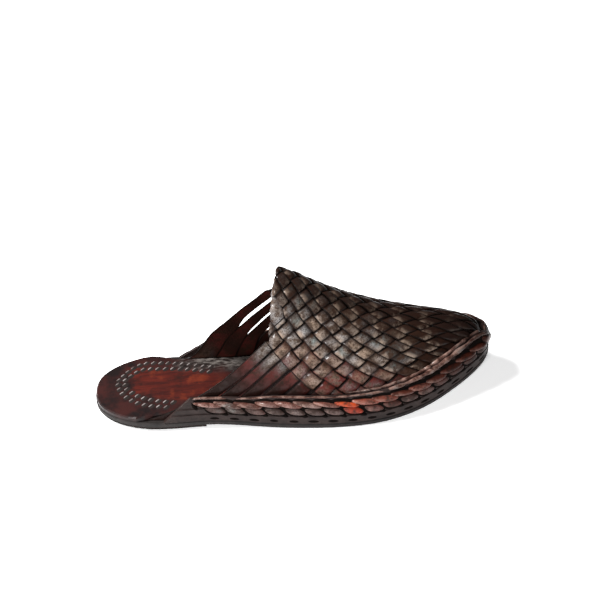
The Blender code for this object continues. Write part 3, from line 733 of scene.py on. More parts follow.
def new_piece(name, vertices, faces, material, uv=None, tone=None):
    """A mesh piece on the root body, moved from the heel's back to the frame's origin."""
    mesh = bpy.data.meshes.new(name)
    shifted = np.asarray(vertices, float) - np.array([HEEL_CENTRE, 0.0, 0.0])
    mesh.from_pydata(shifted.tolist(), [], faces)
    if uv is not None:
        layer = mesh.uv_layers.new(name="Strip")
        index = np.empty(len(mesh.loops), int)
        mesh.loops.foreach_get("vertex_index", index)
        layer.data.foreach_set("uv", np.asarray(uv, float)[index].ravel())
    if tone is not None:
        layer = mesh.color_attributes.new("Tone", "FLOAT_COLOR", "POINT")
        layer.data.foreach_set("color", np.asarray(tone, float).ravel())
    mesh.validate()
    mesh.materials.append(material)
    thing = bpy.data.objects.new(name, mesh)
    bpy.context.scene.collection.objects.link(thing)
    mesh.shade_smooth()
    mesh.set_sharp_from_angle(angle=math.radians(SHARP_ANGLE))
    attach(thing, "root")
    return thing


def quads(rows, columns, first=0, ring=False):
    """Faces of a grid of vertices counted from first; a ring joins its last and first column."""
    faces = []
    for i in range(rows - 1):
        low = first + i * columns
        high = low + columns
        for k in range(columns if ring else columns - 1):
            after = (k + 1) % columns
            faces.append((low + k, low + after, high + after, high + k))
    return faces


class Bundle:
    """Many small tubes gathered for one mesh."""

    def __init__(self):
        self.vertices = []
        self.faces = []
        self.uv = []
        self.tone = []
        self.count = 0

    def tube(self, grid, uv, tone):
        """grid[n, m]: n rings of m points round the strip, closed at both ends."""
        n, m = grid.shape[:2]
        base = self.count
        self.vertices.append(grid.reshape(-1, 3))
        self.uv.append(uv.reshape(-1, 2))
        self.tone.append(tone.reshape(-1, 4))
        self.faces += quads(n, m, base, ring=True)
        self.faces.append(tuple(base + k for k in reversed(range(m))))
        self.faces.append(tuple(base + (n - 1) * m + k for k in range(m)))
        self.count += n * m

    def piece(self, name, material):
        return new_piece(name, np.vstack(self.vertices), self.faces, material,
                         uv=np.vstack(self.uv), tone=np.vstack(self.tone))


def weave_height(q, over_at, crossed):
    """Height of a strip's top along q; over_at(cell) is true where it lies over its crossing."""
    cell = np.floor(q).astype(int)
    here = q - cell
    level = {}
    for c in np.unique(np.concatenate([cell - 1, cell, cell + 1])):
        level[c] = (OVER if over_at(c) else UNDER) if crossed(c) else STRAP_LEVEL
    now = np.array([level[c] for c in cell])
    before = np.array([level[c - 1] for c in cell])
    after = np.array([level[c + 1] for c in cell])
    early = np.where(now > before, CLIMB, DIVE)
    late = np.where(now > after, CLIMB, DIVE)
    rise = ease(here / early * 0.5 + 0.5)
    fall = ease((1.0 - here) / late * 0.5 + 0.5)
    out = np.where(here < 0.5, before + (now - before) * rise, after + (now - after) * fall)
    crown = 1.0 - (2.0 * here - 1.0) ** 2
    over = np.array([1.0 if crossed(c) and over_at(c) else 0.0 for c in cell])
    return out + ARCH * (crown - 1.0) * over


def cell_tone(a, b):
    """Tone of a woven cell with its middle at (a, b)."""
    s, t = unlattice(np.array([a]), np.array([b]))
    s = float(s[0])
    t = float(t[0])
    girth = abs(t)
    # grey is a painted sheen: strongest between the near side's crest and foot, fading at the toe
    grey = (0.12 + 0.88 * fade(girth, *SHEEN_GIRTH)) * (1.0 - fade(s, *SHEEN_TOE))
    grey *= 1.0 - 0.5 * fade(girth, *SHEEN_FOOT)
    red = fade(girth, *RED_GIRTH) * fade(s, *RED_START)
    dark = 0.75 * (1.0 - fade(girth, *DARK_CREST)) + 0.6 * fade(s, *DARK_TOE)
    # the far side gets a weaker painted sheen and darker cells
    if t >= 0.0:
        grey *= 0.25
        red = 0.5 * red + 0.15
        dark += 0.3
    free = RANDOM.random(3)
    if math.floor(b) == COLLAR_STRIP and s < COLLAR_FRONT:
        return np.array([*COLLAR_TONE, 0.05 + 0.3 * free[2]])
    grey = np.clip(grey * (0.65 + 0.6 * free[0]), 0.0, 1.0)
    red = np.clip(red * (0.3 + 1.1 * free[1]), 0.0, 1.0)
    return np.array([grey, red, min(dark, 1.0), free[2]])


def near_strap_tone(q, index):
    """A painted silver grey sheen by the weave, burgundy half way down, brown black at the sole."""
    down = (FIRST_B - q) + 0.6 * max(index - 1, 0)
    free = RANDOM.random()
    grey = 0.95 * (1.0 - fade(down, 0.3, 1.5))
    red = fade(down, 0.5, 1.0) * (1.0 - 0.6 * fade(down, 2.0, 1.2))
    dark = 0.26 + 0.74 * fade(down, 1.2, 1.3)
    return np.stack([grey, red, dark, np.full(len(q), free)], 1)


def far_strap_tone(q, index):
    """Waves of red and dark down the strap, a grey painted sheen at its foot."""
    wave = 0.5 + 0.5 * np.sin(3.1 * q + 1.7 * index)
    foot = ease((-10.4 - q) / 1.2) * (0.45 if index == FIRST_FAR_STRAP else 0.15)
    free = np.full(len(q), 0.9)
    return np.stack([0.05 * wave + foot, 0.25 + 0.5 * wave, 0.75 - 0.35 * wave, free], 1)


def is_strap(index, kind):
    """Whether a strip runs on beyond the weave, down to the sole."""
    return index >= (FIRST_NEAR_STRAP if kind == "a" else FIRST_FAR_STRAP)


def strip_run(index, kind):
    """Stations along a strip for its longest stretch on the upper."""
    q = np.arange(*RUN_CELLS, 1.0 / STEPS_PER_CELL)
    centre = np.full(len(q), index + 0.5)
    a, b = (centre, q) if kind == "a" else (q, centre)
    s, t = unlattice(a, b)
    inside = np.abs(t) < LAST.feather(s, t) + OVERRUN
    inside &= s < LAST.end + OVERRUN
    free = is_strap(index, kind) & (t < 0.0 if kind == "a" else t > 0.0)
    inside &= (s > back_edge(t) - math.pi * FOLD_RADIUS - FOLD_TAIL) | free
    corner = np.where(t < 0.0, NEAR_GIRTH, FAR_GIRTH) + CORNER_MARGIN
    inside &= free | (s > back_edge(t) + REAR_MARGIN) | (np.abs(t) < corner)
    s_back, t_back = lattice(s, t)
    inside &= np.abs(s_back - a) + np.abs(t_back - b) < LATTICE_MISS
    edges = np.flatnonzero(np.diff(np.concatenate([[0], inside.astype(int), [0]])))
    starts = edges[::2]
    stops = edges[1::2]
    if inside.sum() < 2 * STEPS_PER_CELL:
        return q[:0]
    best = int(np.argmax(stops - starts))
    return q[starts[best]:stops[best]]


def far_strap_shift():
    """Forward shift by girth that brings the straps' rear line onto the upper's rear edge."""
    q = np.linspace(*FAR_REAR_RUN)
    s, t = unlattice(q, np.full(len(q), FAR_REAR_LINE))
    order = np.argsort(np.abs(t))
    behind = np.maximum(back_edge(t) - s, 0.0)[order]
    reach = np.linspace(*FAR_REACH)
    shift = np.interp(reach, np.abs(t)[order], behind)
    return reach, FAR_SHARE * smoothed(shift, np.hanning(FAR_WINDOW))


FAR_STRAP_SHIFT = far_strap_shift()


def on_top(a, b):
    """Whether strip a lies over strip b: a plain weave, but the collar strip covers its own."""
    return (a + b) % 2 == 1 and not (b == COLLAR_STRIP and a in UNDER_COLLAR)


def strip_height(q, index, kind):
    if kind == "a":
        return weave_height(q, lambda c: on_top(index, c), lambda c: c >= FIRST_B)
    return weave_height(q, lambda c: not on_top(c, index), lambda c: c >= FIRST_A)


def strip_width(q, index, kind):
    """Half width and sideways shift along a strip, in cells."""
    half = np.full(len(q), (A_HALF if kind == "a" else B_HALF) + HALF_SPREAD * RANDOM.random())
    shift = np.zeros(len(q))
    if kind == "b" and index in FAR_FAN:
        fan = ease((FAN_START - q) / FAN_LENGTH)
        shift += FAR_FAN[index][0] * fan
        half += (FAR_FAN[index][1] - half) * fan
        shut = FAR_SHUT.get(index, 0.0) * ease((FAR_MERGE - q) / FAR_MERGE_LENGTH)
        shift += shut
        half += shut
    if kind == "a" and is_strap(index, kind):
        half += (NEAR_STRAP_HALF - half) * ease((NEAR_WIDE_START - q) / NEAR_WIDE_LENGTH)
    if kind == "b" and index == COLLAR_STRIP:
        wide = ease((COLLAR_WIDE_END - q) / COLLAR_WIDE_LENGTH)
        shift += COLLAR_WIDE[0] * wide
        half += (COLLAR_WIDE[1] - half) * wide
    return half, shift


def strip_tones(q, index, kind):
    """Tone at each station of a strip, and where it is one whole piece without cells."""
    cells = np.floor(q).astype(int)
    table = {}
    for c in np.unique(cells):
        middle = (index + 0.5, c + 0.5) if kind == "a" else (c + 0.5, index + 0.5)
        table[c] = cell_tone(*middle)
    tone = np.array([table[c] for c in cells])
    whole = np.zeros(len(q), bool)
    if is_strap(index, kind) and kind == "a":
        whole = q < FIRST_B
        tone[whole] = near_strap_tone(q[whole], index)
    elif is_strap(index, kind):
        whole = q < FIRST_A
        tone[whole] = far_strap_tone(q[whole], index)
    if kind == "b" and index == COLLAR_STRIP:
        whole = (q > COLLAR_PLAIN[0]) & (q < COLLAR_PLAIN[1])
        tone[whole] = COLLAR_PLAIN_TONE
    return tone, whole


def add_strip(bundle, index, kind):
    """One strip of the weave. Its uv runs from 0 to 0.5 over each cell where it lies on top."""
    q = strip_run(index, kind)
    if len(q) == 0:
        return
    half, shift = strip_width(q, index, kind)
    shift += DRIFT * np.sin(q * DRIFT_WAVE + 6.0 * RANDOM.random())
    tilt = TILT * np.sin(q * TILT_WAVE + 6.0 * RANDOM.random())
    roll = {c: CELL_ROLL * (2.0 * RANDOM.random() - 1.0) for c in ROLL_CELLS}
    tilt += np.array([roll[int(c)] for c in np.floor(q)])
    across, down = STRIP_SECTION.T
    centre = index + 0.5 + shift[:, None] + half[:, None] * across
    along = np.repeat(q[:, None], len(across), 1)
    if kind == "a":
        bend = NEAR_BEND * np.maximum(NEAR_BEND_START - along, 0.0) ** 2
        s, t = unlattice(centre + bend * is_strap(index, kind), along)
    else:
        s, t = unlattice(along, centre)
        part = ease((FIRST_A - along) / FAR_FREE_LENGTH) * is_strap(index, kind)
        s += np.interp(np.abs(t), *FAR_STRAP_SHIFT) * part
    fold = np.ones(s.shape, bool)
    if is_strap(index, kind):
        fold = t > NEAR_FOLD_END if kind == "a" else t < FAR_FOLD_END
    up = strip_height(q, index, kind)[:, None] + tilt[:, None] * across + STRIP_THICK * down
    grid = leather_place(s, t, up, fold)
    tone, whole = strip_tones(q, index, kind)
    first_over = (index + 1) % 2 if kind == "a" else index % 2
    run = 0.5 * (along - first_over)
    if kind == "b":
        run = 0.5 - run
    run[whole] = CELL_MIDDLE
    uv = np.stack([run, np.repeat(across[None, :], len(q), 0) * 0.5 + 0.5], -1)
    bundle.tube(grid, uv, np.repeat(tone[:, None, :], len(across), 1))


def make_weave(material):
    for kind, first in (("a", FIRST_A), ("b", FIRST_B)):
        bundle = Bundle()
        for index in range(first, STRIPS_END):
            add_strip(bundle, index, kind)
        piece = bundle.piece("weave_" + kind, material)
        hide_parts("upper")


def make_lining(material):
    """The thin inner face behind the woven part, so that no light shows between the strips; it is near
    black as painted shade in the gaps.
    """
    vertices = np.zeros((LINING_ROWS, LINING_COLUMNS, 3))
    share = np.linspace(-1.0, 1.0, LINING_COLUMNS)
    for k, run in enumerate(np.linspace(0.0, 1.0, LINING_ROWS)):
        s = run * LAST.end
        near_stop = min(LINING_NEAR + LINING_WIDEN * s, float(LAST.feather(s, -1.0)))
        far_stop = min(LINING_FAR + LINING_WIDEN * s, float(LAST.feather(s, 1.0)))
        t = np.where(share < 0.0, share * near_stop, share * far_stop)
        first = back_edge(t) + LINING_REAR
        points, normals = LAST.place(first + run * (LAST.end - first), t)
        vertices[k] = points - normals * LINING_DEPTH
        low = outsole_top(vertices[k][:, 0]) + GAP
        vertices[k][:, 2] = np.maximum(vertices[k][:, 2], low)
    faces = quads(LINING_ROWS, LINING_COLUMNS)
    piece = new_piece("lining", vertices.reshape(-1, 3), faces, material)
    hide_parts("upper")


class WallFace:
    """The side wall's outer face by run (metres from the near end) and share of its height."""

    def __init__(self):
        self.shares = np.linspace(0.0, FACE_TOP, FACE_ROWS)
        start = WALL_START * LENGTH
        self.fraction = np.linspace(0.0, 1.0, FACE_COLUMNS)
        self.points = np.zeros((FACE_ROWS, FACE_COLUMNS, 3))
        self.outward = np.zeros((FACE_ROWS, FACE_COLUMNS, 3))
        for k, share in enumerate(self.shares):
            def inset_at(x, share=share):
                return wall_inset(x, min(share, 1.0))

            def beyond_at(x, share=share):
                return wall_inset(x, min(share, 1.0)) - FACE_OFFSET

            points, run = rail(inset_at, start, start, self.fraction)
            outer, _ = rail(beyond_at, start, start, self.fraction)
            away = unit(outer - points)
            self.points[k] = np.column_stack([points, wall_point(points[:, 0], share)])
            self.outward[k] = np.column_stack([away, np.zeros(len(away))])
            if k == 0:
                self.run = run

    def at(self, run, share):
        """Points on the face and the way outwards there."""
        rows = FACE_ROWS - 1
        columns = FACE_COLUMNS - 1
        row = np.clip(np.asarray(share, float) / self.shares[-1] * rows, 0.0, rows)
        column = np.clip(np.asarray(run, float) / self.run * columns, 0.0, columns)
        return read(self.points, row, column), unit(read(self.outward, row, column))

    def run_at(self, x, side):
        """The run where the wall's foot passes x on the near (-1) or far (1) side."""
        path = self.points[0]
        tip = int(np.argmax(path[:, 0]))
        if side < 0:
            return float(np.interp(x, path[:tip + 1, 0], self.fraction[:tip + 1])) * self.run
        return float(np.interp(-x, -path[tip:, 0], self.fraction[tip:])) * self.run

    def rise_at(self, run, share):
        """Height of the wall at the place of this run and share."""
        return wall_rise(self.at(run, share)[0][:1], 1.0)[0]


def pad(bundle, wall, here, size, rise, tone):
    """A cushion of leather on the wall at run here; size is as in the table of pads."""
    ahead, share, half_run, half_height, slant, thick, back, square = size
    turn = np.linspace(0.0, 2.0 * math.pi, PAD_AROUND, endpoint=False)
    ex, ey = (np.sign(w) * np.abs(w) ** (2.0 / square) for w in (np.cos(turn), np.sin(turn)))
    levels = [(1.0, PAD_FOOT)] + [(r, (1.0 - r ** PAD_CROWN[0]) ** PAD_CROWN[1]) for r in PAD_RINGS]
    grid = []
    for radius, height in levels:
        run = here + ahead + half_run * ex * radius - slant * ey * radius
        points, outward = wall.at(run, share + half_height / rise * ey * radius)
        grid.append(points + outward * (back + thick * height))
    radii = np.array([radius for radius, height in levels])[:, None]
    # the uv gives each pad a painted highlight at the end towards the start of the run and along its top,
    # and painted shade at the other end and its foot
    along = CELL_MIDDLE + (0.24 * ex - 0.10 * ey) * radii
    uv = np.stack([along, 0.5 + 0.5 * ey * radii], -1)
    bundle.tube(np.array(grid), uv, np.tile(tone, (len(levels), PAD_AROUND, 1)))


def wall_tone(point, jitter):
    """Tone along the wall: red and orange patches ahead of the ball, dark at the toe, and a grey painted
    sheen that is weaker where it is red or dark.
    """
    station = point[0] / LENGTH
    red = 0.15
    if point[1] < 0.0:
        red = bell(station, *RED_PATCH) + 0.35 * bell(station, *RED_BEYOND)
        red += 0.20 * fade(station, *RED_TOE)
    dark = 0.35 * fade(station, *WALL_DARK) + 0.6 * fade(station, *WALL_DARKER)
    grey = 0.62 * (1.0 - 0.8 * dark) * (1.0 - 0.6 * red)
    free = RANDOM.random(3)
    red = min(1.0, red * (0.5 + 0.8 * free[1]) + 0.16 * free[2])
    return np.array([grey * (0.25 + 0.95 * free[0]), red, 0.85 * dark, jitter])


def make_wall_lacing(wall, braid, scales, holes):
    """The plaited cord under the rim, the lacing lobes below it, and black pads as painted shade round
    them and in their stitch holes.
    """
    start = wall.run_at(BRAID_FIRST_X, -1)
    stop = wall.run_at(BRAID_LAST_X, 1)
    count = int(round((stop - start) / LOBE_PITCH))
    pitch = (stop - start) / count
    cord, lobes, shade_marks = Bundle(), Bundle(), Bundle()
    for k in range(count):
        here = start + (k + 0.5) * pitch
        point = wall.at(here, CORD_SHARE)[0]
        rise = wall.rise_at(here, CORD_SHARE)
        wobble = RANDOM.random(6) - 0.5
        tone = wall_tone(point, RANDOM.random())
        toe = fade(point[0] / LENGTH, *LACING_TOE)
        leaf = CORD_LEAF + toe * CORD_LEAF_TOE
        leaf[:5] += CORD_LEAF_VARIES * wobble[[0, 1, 3, 5, 2]]
        pad(cord, wall, here, leaf, rise, tone)
        lobe = LOBE.copy()
        lobe[:2] += LOBE_VARIES * wobble[[3, 4]]
        tone = wall_tone(point, RANDOM.random())
        pad(lobes, wall, here, lobe, rise, np.array([tone[0], 0.8 * tone[1], tone[2], 0.0]))
        upper = UPPER_HOLE.copy()
        upper[1:3] += UPPER_HOLE_VARIES * wobble[[5, 0]]
        lower = LOWER_HOLE.copy()
        lower[1:3] += LOWER_HOLE_VARIES * wobble[[1, 2]]
        # black pads as painted shade: round the leaf and the lobe, and in the two stitch holes
        for size in (CORD_GAP_SHADE + toe * CORD_GAP_SHADE_TOE, LOBE_GAP_SHADE, upper, lower):
            pad(shade_marks, wall, here, size, rise, BLACK_TONE)
    pad(shade_marks, wall, start, END_HOLE, wall.rise_at(start, END_SHARE), BLACK_TONE)
    piece = cord.piece("edge_leaves", braid)
    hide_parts("edge_braid")
    lobes.piece("lacing_lobes", scales)
    shade_marks.piece("hole_and_gap_shade", holes)


def rim_tube(bundle, wall, ends, inset, lift, size, taper):
    """One rolled, pinched fold along the top of the wall, with a painted highlight on its crest and
    painted shade below it.
    """
    start = wall.run_at(ends[0], -1)
    stop = wall.run_at(ends[1], 1)
    run = np.linspace(start, stop, int((stop - start) / RIM_STEP))
    pinch = np.abs(np.sin(math.pi * (run - start) / LOBE_PITCH))
    free, wave = (
        np.interp(run, np.linspace(start, stop, places), RANDOM.random(places))
        for places in (RIM_PINCHES, RIM_WAVES)
    )
    wave -= 0.5
    swell = size * (SWELL_LEAST + SWELL_PINCH * pinch ** 0.7 + SWELL_FREE * (free - 0.5))
    swell *= ease((run - start + RIM_STEP) / taper) * ease((stop - run + RIM_STEP) / taper)
    place, outward = wall.at(run, np.full(len(run), RIM_SHARE))
    for axis in range(3):
        place[:, axis] = smoothed(place[:, axis], np.hanning(RIM_WINDOW + 2)[1:-1])
    station = place[:, 0] / LENGTH
    toe = fade(station, *RIM_TOE)
    wide = (RIM_WIDE[0] + RIM_WIDE[1] * toe) * swell
    tall = (RIM_TALL[0] + RIM_TALL[1] * toe) * swell
    sway = (RIM_SWAY[0] + RIM_SWAY[1] * toe) * wave - inset
    rise = (RIM_RISE[0] + RIM_RISE[1] * toe) * wave + lift
    grid = np.zeros((len(run), RIM_AROUND, 3))
    uv = np.full((len(run), RIM_AROUND, 2), 0.5)
    up = np.array([0.0, 0.0, 1.0])
    for k, angle in enumerate(np.linspace(0.0, 2.0 * math.pi, RIM_AROUND, endpoint=False)):
        grid[:, k] = (place + outward * (wide * math.cos(angle) + sway)[:, None]
                      + up * (tall * math.sin(angle) + rise)[:, None])
        # the uv puts the painted highlight of a cell's low end on the crest and the painted shade of its
        # high end underneath
        uv[:, k, 0] = CELL_MIDDLE - 0.19 * math.sin(angle)
    tone = np.zeros((len(run), RIM_AROUND, 4))
    tone[..., 0] = (0.10 + 0.35 * free + 0.15 * toe)[:, None]
    tone[..., 1] = 0.04
    tone[..., 2] = (0.15 + 0.70 * fade(station, *RIM_DARK))[:, None]
    tone[..., 3] = 0.8
    bundle.tube(grid, uv, tone)


def make_rim_roll(wall, material):
    """The rolled edge of the wall above the plaited cord, and a second fold round the toe."""
    bundle = Bundle()
    rim_tube(bundle, wall, *RIM_FOLD)
    rim_tube(bundle, wall, *TOE_FOLD)
    bundle.piece("rim_roll", material)


def insole_height(x):
    return outsole_top(x) + GAP + INSOLE


def stamp_path(rows):
    """Even places along a smooth line through rows of (x, y) in mm."""
    rows = np.asarray(rows, float) / 1000.0
    run = np.concatenate([[0.0], np.cumsum(np.linalg.norm(np.diff(rows, axis=0), axis=1))])
    fine = np.linspace(0.0, run[-1], 400)
    x, y = (follow(np.column_stack([run, rows[:, axis]]), fine) for axis in (0, 1))
    count = int(run[-1] / STAMP_PITCH)
    at = (np.arange(count) + 0.5) * run[-1] / count
    return np.stack([np.interp(at, fine, x), np.interp(at, fine, y)], 1)


def add_notch(bundle, place, size):
    """A small mound on the insole, leaning across the row of notches."""
    shift, half_long, half_wide, high = size
    long_way = np.array([math.cos(STAMP_LEAN), math.sin(STAMP_LEAN)])
    side_way = np.array([-long_way[1], long_way[0]])
    turn = np.linspace(0.0, 2.0 * math.pi, STAMP_AROUND, endpoint=False)[:, None]
    grid = []
    for radius, height in ((1.0, STAMP_FOOT), *((r, h * high) for r, h in STAMP_RINGS)):
        flat = (place + side_way * shift + long_way * half_long * radius * np.cos(turn)
                + side_way * half_wide * radius * np.sin(turn))
        grid.append(np.column_stack([flat, insole_height(flat[:, 0]) + height]))
    shape = (len(grid), STAMP_AROUND, 1)
    tone = np.array([0.5 + 0.5 * RANDOM.random(), 0.0, 0.0, 0.5])
    bundle.tube(np.array(grid), np.tile((0.5, 0.5), shape), np.tile(tone, shape))


def make_stamps(bright, dark):
    """Two rows of stamped notches round the heel of the insole: a raised lip, light grey as a painted
    glint, beside each pit, a flat near black mark as painted shade.
    """
    lips, shade_marks = Bundle(), Bundle()
    for rows in (STAMP_OUTER, STAMP_INNER):
        for place in stamp_path(rows):
            add_notch(lips, place, STAMP_LIP)
            add_notch(shade_marks, place, STAMP_PIT)
    lips.piece("stamp_lips", bright)
    shade_marks.piece("stamp_pit_shades", dark)


def shade(colour, factor):
    return tuple(factor * c for c in colour)


class Finish:
    """A material, with short calls that add nodes to it. A value is an output, a colour or a number."""

    def __init__(self, name):
        self.material = bpy.data.materials.new(name)
        self.material.use_nodes = True
        self.tree = self.material.node_tree
        self.shader = self.tree.nodes["Principled BSDF"]

    def put(self, node, values):
        for key, value in values.items():
            socket = node.inputs[key]
            if hasattr(value, "links"):
                self.tree.links.new(value, socket)
            elif socket.type == "RGBA":
                socket.default_value = (*value, 1.0)
            else:
                socket.default_value = value

    def node(self, kind, values, **settings):
        node = self.tree.nodes.new(kind)
        for key, value in settings.items():
            setattr(node, key, value)
        self.put(node, values)
        return node

    def mix(self, factor, one, two):
        """Colour one where factor is 0, colour two where it is 1."""
        return self.node("ShaderNodeMix", {0: factor, 6: one, 7: two}, data_type="RGBA").outputs[2]

    def maths(self, operation, one, two=0.0, clamp=False):
        node = self.node("ShaderNodeMath", {0: one, 1: two}, operation=operation, use_clamp=clamp)
        return node.outputs[0]

    def times(self, one, two, clamp=False):
        return self.maths("MULTIPLY", one, two, clamp)

    def plus(self, one, two):
        return self.maths("ADD", one, two)

    def minus(self, one, two):
        return self.maths("SUBTRACT", one, two)

    def ramp(self, factor, low, high):
        """0 where factor is low, 1 where it is high, held beyond; low may be the larger."""
        values = {"Value": factor, "From Min": low, "From Max": high}
        return self.node("ShaderNodeMapRange", values, clamp=True).outputs["Result"]

    def noise(self, vector, scale, detail, roughness):
        values = {"Vector": vector, "Scale": scale, "Detail": detail, "Roughness": roughness}
        return self.node("ShaderNodeTexNoise", values).outputs["Fac"]

    def place(self):
        return self.node("ShaderNodeTexCoord", {}).outputs["Object"]

    def stretched(self, vector, scale, turn=(0.0, 0.0, 0.0)):
        values = {"Vector": vector, "Scale": scale, "Rotation": turn}
        return self.node("ShaderNodeMapping", values).outputs[0]

    def bump(self, height, strength, distance):
        values = {"Height": height, "Strength": strength, "Distance": distance}
        return self.node("ShaderNodeBump", values).outputs["Normal"]


def strip_leather(name, brown, silver, gold, red, roughness, coat):
    """Burnished strip leather: its colour follows the Tone values, with a painted sheen and highlight; its
    edges and dips are dark as painted shade.
    """
    f = Finish(name)
    tone = f.node("ShaderNodeAttribute", {}, attribute_name="Tone")
    split = f.node("ShaderNodeSeparateColor", {0: tone.outputs["Color"]})
    painted_sheen_tone, red_tone, dark_tone = split.outputs[:3]
    uv = f.node("ShaderNodeUVMap", {}, uv_map="Strip")
    flat = f.node("ShaderNodeSeparateXYZ", {0: uv.outputs["UV"]})
    place = f.place()
    grain = f.noise(place, *STRIP_GRAIN)
    patch = f.noise(place, *STRIP_PATCH)
    broad = f.noise(place, *STRIP_BROAD)
    from_middle = f.maths("ABSOLUTE", f.minus(flat.outputs[1], 0.5))
    along = f.minus(f.maths("FRACT", flat.outputs[0]), CELL_MIDDLE)
    from_crown = f.maths("ABSOLUTE", along)

    # brown leather under a painted silver, gold and cool sheen, which is a painted highlight brightest in
    # the middle of each cell and fades towards its edges and ends
    colour = f.mix(f.ramp(patch, 0.35, 0.65), brown, shade(brown, 0.35))
    warm = f.plus(f.times(tone.outputs["Alpha"], 0.4), broad)
    sheen = f.mix(f.ramp(warm, 0.50, 0.86), silver, gold)
    sheen = f.mix(f.ramp(broad, 0.44, 0.36), sheen, COOL_SHEEN)
    sheen = f.mix(f.ramp(patch, 0.55, 0.38), sheen, shade(gold, 0.30))
    middle = f.times(f.ramp(from_middle, 0.46, 0.12), f.ramp(from_crown, 0.27, 0.10))
    fine = f.times(f.ramp(grain, 0.32, 0.55), f.plus(f.times(middle, 0.75), 0.25))
    colour = f.mix(f.times(painted_sheen_tone, fine, True), colour, sheen)
    # painted highlight, cream, at the low end of each cell, and painted shade at its high end
    painted_highlight_end = f.times(f.ramp(along, -0.02, -0.20), f.ramp(patch, 0.42, 0.60))
    painted_highlight_end = f.times(painted_highlight_end, f.ramp(from_middle, 0.44, 0.30))
    colour = f.mix(f.times(painted_highlight_end, 0.55, True), colour, shade(gold, 1.35))
    painted_shade_end = f.ramp(along, 0.06, 0.26)
    colour = f.mix(f.times(painted_shade_end, 0.55, True), colour, shade(brown, 0.8))
    # red and dark as the tone says, then painted shade: black at the strips' edges and at the dips where a
    # strip goes under its neighbour
    colour = f.mix(f.times(red_tone, f.ramp(patch, 0.36, 0.56), True), colour, red)
    colour = f.mix(f.times(dark_tone, 0.90, True), colour, DEEP_BROWN)
    jittered_from_middle = f.plus(from_middle, f.times(f.minus(patch, 0.5), 0.08))
    edge = f.ramp(jittered_from_middle, 0.40, 0.475)
    edge_and_dip_shade = f.times(f.maths("MAXIMUM", edge, f.ramp(from_crown, 0.255, 0.285)), 0.96)
    colour = f.mix(edge_and_dip_shade, colour, GAP_SHADE_BLACK)

    matt = f.times(f.maths("MAXIMUM", red_tone, dark_tone), 0.7)
    shine = f.times(f.times(f.ramp(patch, 0.45, 0.60), coat), f.minus(1.0, matt))
    f.put(f.shader, {
        "Base Color": colour,
        "Roughness": f.plus(f.times(grain, 0.35), roughness - 0.17),
        "Specular IOR Level": 0.06,
        "Coat Weight": f.times(shine, f.minus(1.0, edge_and_dip_shade)),
        "Coat Roughness": 0.16,
        "Coat IOR": 1.5,
        "Normal": f.bump(f.plus(f.times(grain, 0.5), patch), 0.45, 0.0004),
    })
    return f.material


def plain_leather(name):
    """Leather of two mixed colours with a dark grain, as its row in PLAIN says."""
    base, second, roughness, coat, gloss = PLAIN[name]
    f = Finish(name)
    place = f.place()
    patch = f.noise(place, *PLAIN_PATCH)
    grain = f.noise(place, *PLAIN_GRAIN)
    colour = f.mix(f.ramp(patch, 0.34, 0.66), base, second)
    colour = f.mix(f.times(f.ramp(grain, 0.6, 0.4), 0.4), colour, shade(base, 0.35))
    f.put(f.shader, {
        "Base Color": colour,
        "Roughness": f.plus(f.times(grain, 0.3), roughness - 0.12),
        "Specular IOR Level": gloss,
        "Coat Weight": coat,
        "Coat Roughness": 0.25,
        "Coat IOR": 1.35,
        "Normal": f.bump(grain, 0.3, 0.0004),
    })
    return f.material


def insole_leather():
    """Oxblood insole: orange red inside the notches, dark at the rim, grey and scratched at the waist."""
    f = Finish("insole_finish")
    place = f.place()
    split = f.node("ShaderNodeSeparateXYZ", {0: place})
    warp = f.times(f.minus(f.noise(place, *INSOLE_WARP), 0.5), 0.020)
    x = f.plus(split.outputs[0], warp)
    y = f.plus(split.outputs[1], f.times(warp, 0.6))
    middle = f.minus(PANEL_MIDDLE, f.times(x, PANEL_SLANT))
    side = f.ramp(f.maths("ABSOLUTE", f.minus(y, middle)), *PANEL_SIDE)
    panel = f.times(f.times(side, f.ramp(x, *PANEL_FRONT)), f.ramp(x, *PANEL_BACK))
    fibre = f.noise(f.stretched(place, FIBRE_SCALE), *FIBRE)
    scratch = f.noise(f.stretched(place, SCRATCH_SCALE, SCRATCH_TURN), *SCRATCH)
    patch = f.noise(place, *INSOLE_PATCH)
    grain = f.noise(place, *INSOLE_GRAIN)
    red = f.mix(f.ramp(fibre, 0.35, 0.65), *OXBLOOD)
    red = f.mix(f.ramp(patch, 0.56, 0.68), red, BRIGHT_RED)
    red = f.mix(f.ramp(patch, 0.44, 0.30), red, DEEP_BROWN)
    rim = f.mix(f.ramp(patch, 0.40, 0.62), *INSOLE_RIM)
    waist = f.times(f.ramp(x, *WAIST_X), f.ramp(y, *WAIST_Y))
    grey = f.mix(f.ramp(scratch, 0.45, 0.62), *WAIST_GREY)
    relief = f.plus(f.times(grain, 0.3), f.times(scratch, waist))
    f.put(f.shader, {
        "Base Color": f.mix(waist, f.mix(panel, rim, red), grey),
        "Roughness": f.plus(f.times(grain, 0.3), 0.28),
        "Specular IOR Level": 0.15,
        "Coat Weight": 0.08,
        "Coat Roughness": 0.25,
        "Normal": f.bump(f.plus(relief, f.times(patch, 0.8)), 0.5, 0.0005),
    })
    return f.material


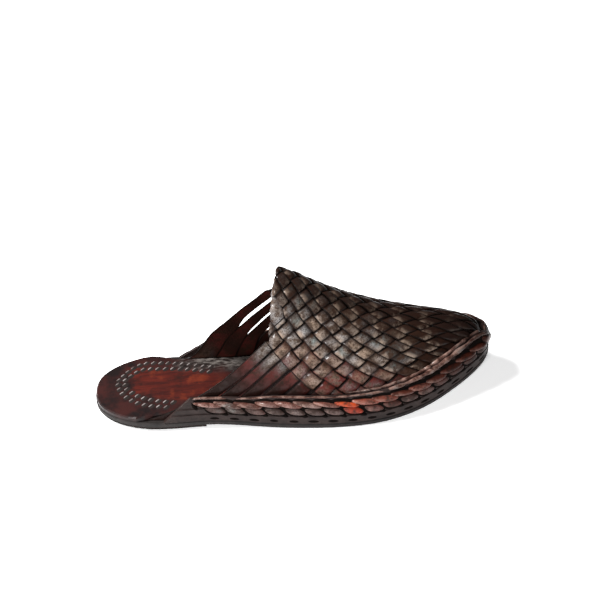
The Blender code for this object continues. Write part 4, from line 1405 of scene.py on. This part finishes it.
def put_in_scene(name, data, place=(0.0, 0.0, 0.0), target=None):
    """An object of the stage, turned to look at the target."""
    thing = bpy.data.objects.new(name, data)
    thing.location = place
    if target:
        thing.rotation_euler = (Vector(target) - Vector(place)).to_track_quat("-Z", "Y").to_euler()
    bpy.context.scene.collection.objects.link(thing)
    return thing


def make_floor():
    paint = Finish("floor_paint")
    paint.put(paint.shader, {
        "Base Color": FLOOR_COLOUR,
        "Roughness": FLOOR_ROUGHNESS,
        "Emission Color": WHITE,
        "Emission Strength": FLOOR_GLOW,
    })
    mesh = bpy.data.meshes.new("floor")
    corners = [(FLOOR_HALF * x, FLOOR_HALF * y, 0) for x, y in ((-1, -1), (1, -1), (1, 1), (-1, 1))]
    mesh.from_pydata(corners, [], [(0, 1, 2, 3)])
    mesh.materials.append(paint.material)
    put_in_scene("floor", mesh)


def make_stage():
    scene = bpy.context.scene
    camera = bpy.data.cameras.new("camera")
    camera.lens = CAMERA_LENS
    camera.sensor_width = CAMERA_SENSOR
    scene.camera = put_in_scene("camera", camera, CAMERA_AT, CAMERA_TARGET)
    make_floor()
    world = bpy.data.worlds.new("studio")
    world.use_nodes = True
    background = world.node_tree.nodes["Background"]
    background.inputs["Color"].default_value = (*WHITE, 1.0)
    background.inputs["Strength"].default_value = WORLD_LIGHT
    scene.world = world
    scene.view_settings.view_transform = "Standard"
    for name, place, size, power in LIGHTS:
        light = bpy.data.lights.new(name, "AREA")
        light.shape = "DISK"
        light.size = size
        light.energy = power
        put_in_scene(name, light, place, LIGHT_TARGET)


def dress(name, material):
    """Give a solid of the frame its material."""
    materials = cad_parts[name].data.materials
    materials.clear()
    materials.append(material)


def main():
    make_stage()
    make_weave(strip_leather("burnished_strips", *STRIPS))
    make_lining(plain_leather("lining_and_gap_shade"))
    wall = WallFace()
    cord = strip_leather("cord_leather", *CORD)
    lobes = strip_leather("lacing_leather", *LACING)
    make_wall_lacing(wall, cord, lobes, plain_leather("hole_shade"))
    make_rim_roll(wall, cord)
    make_stamps(plain_leather("stamp_lip_glint"), plain_leather("stamp_pit_shade"))
    dress("heel_lift", plain_leather("lift_finish"))
    dress("outsole", plain_leather("sole_finish"))
    dress("insole", insole_leather())
    dress("side_wall", plain_leather("wall_finish"))


main()
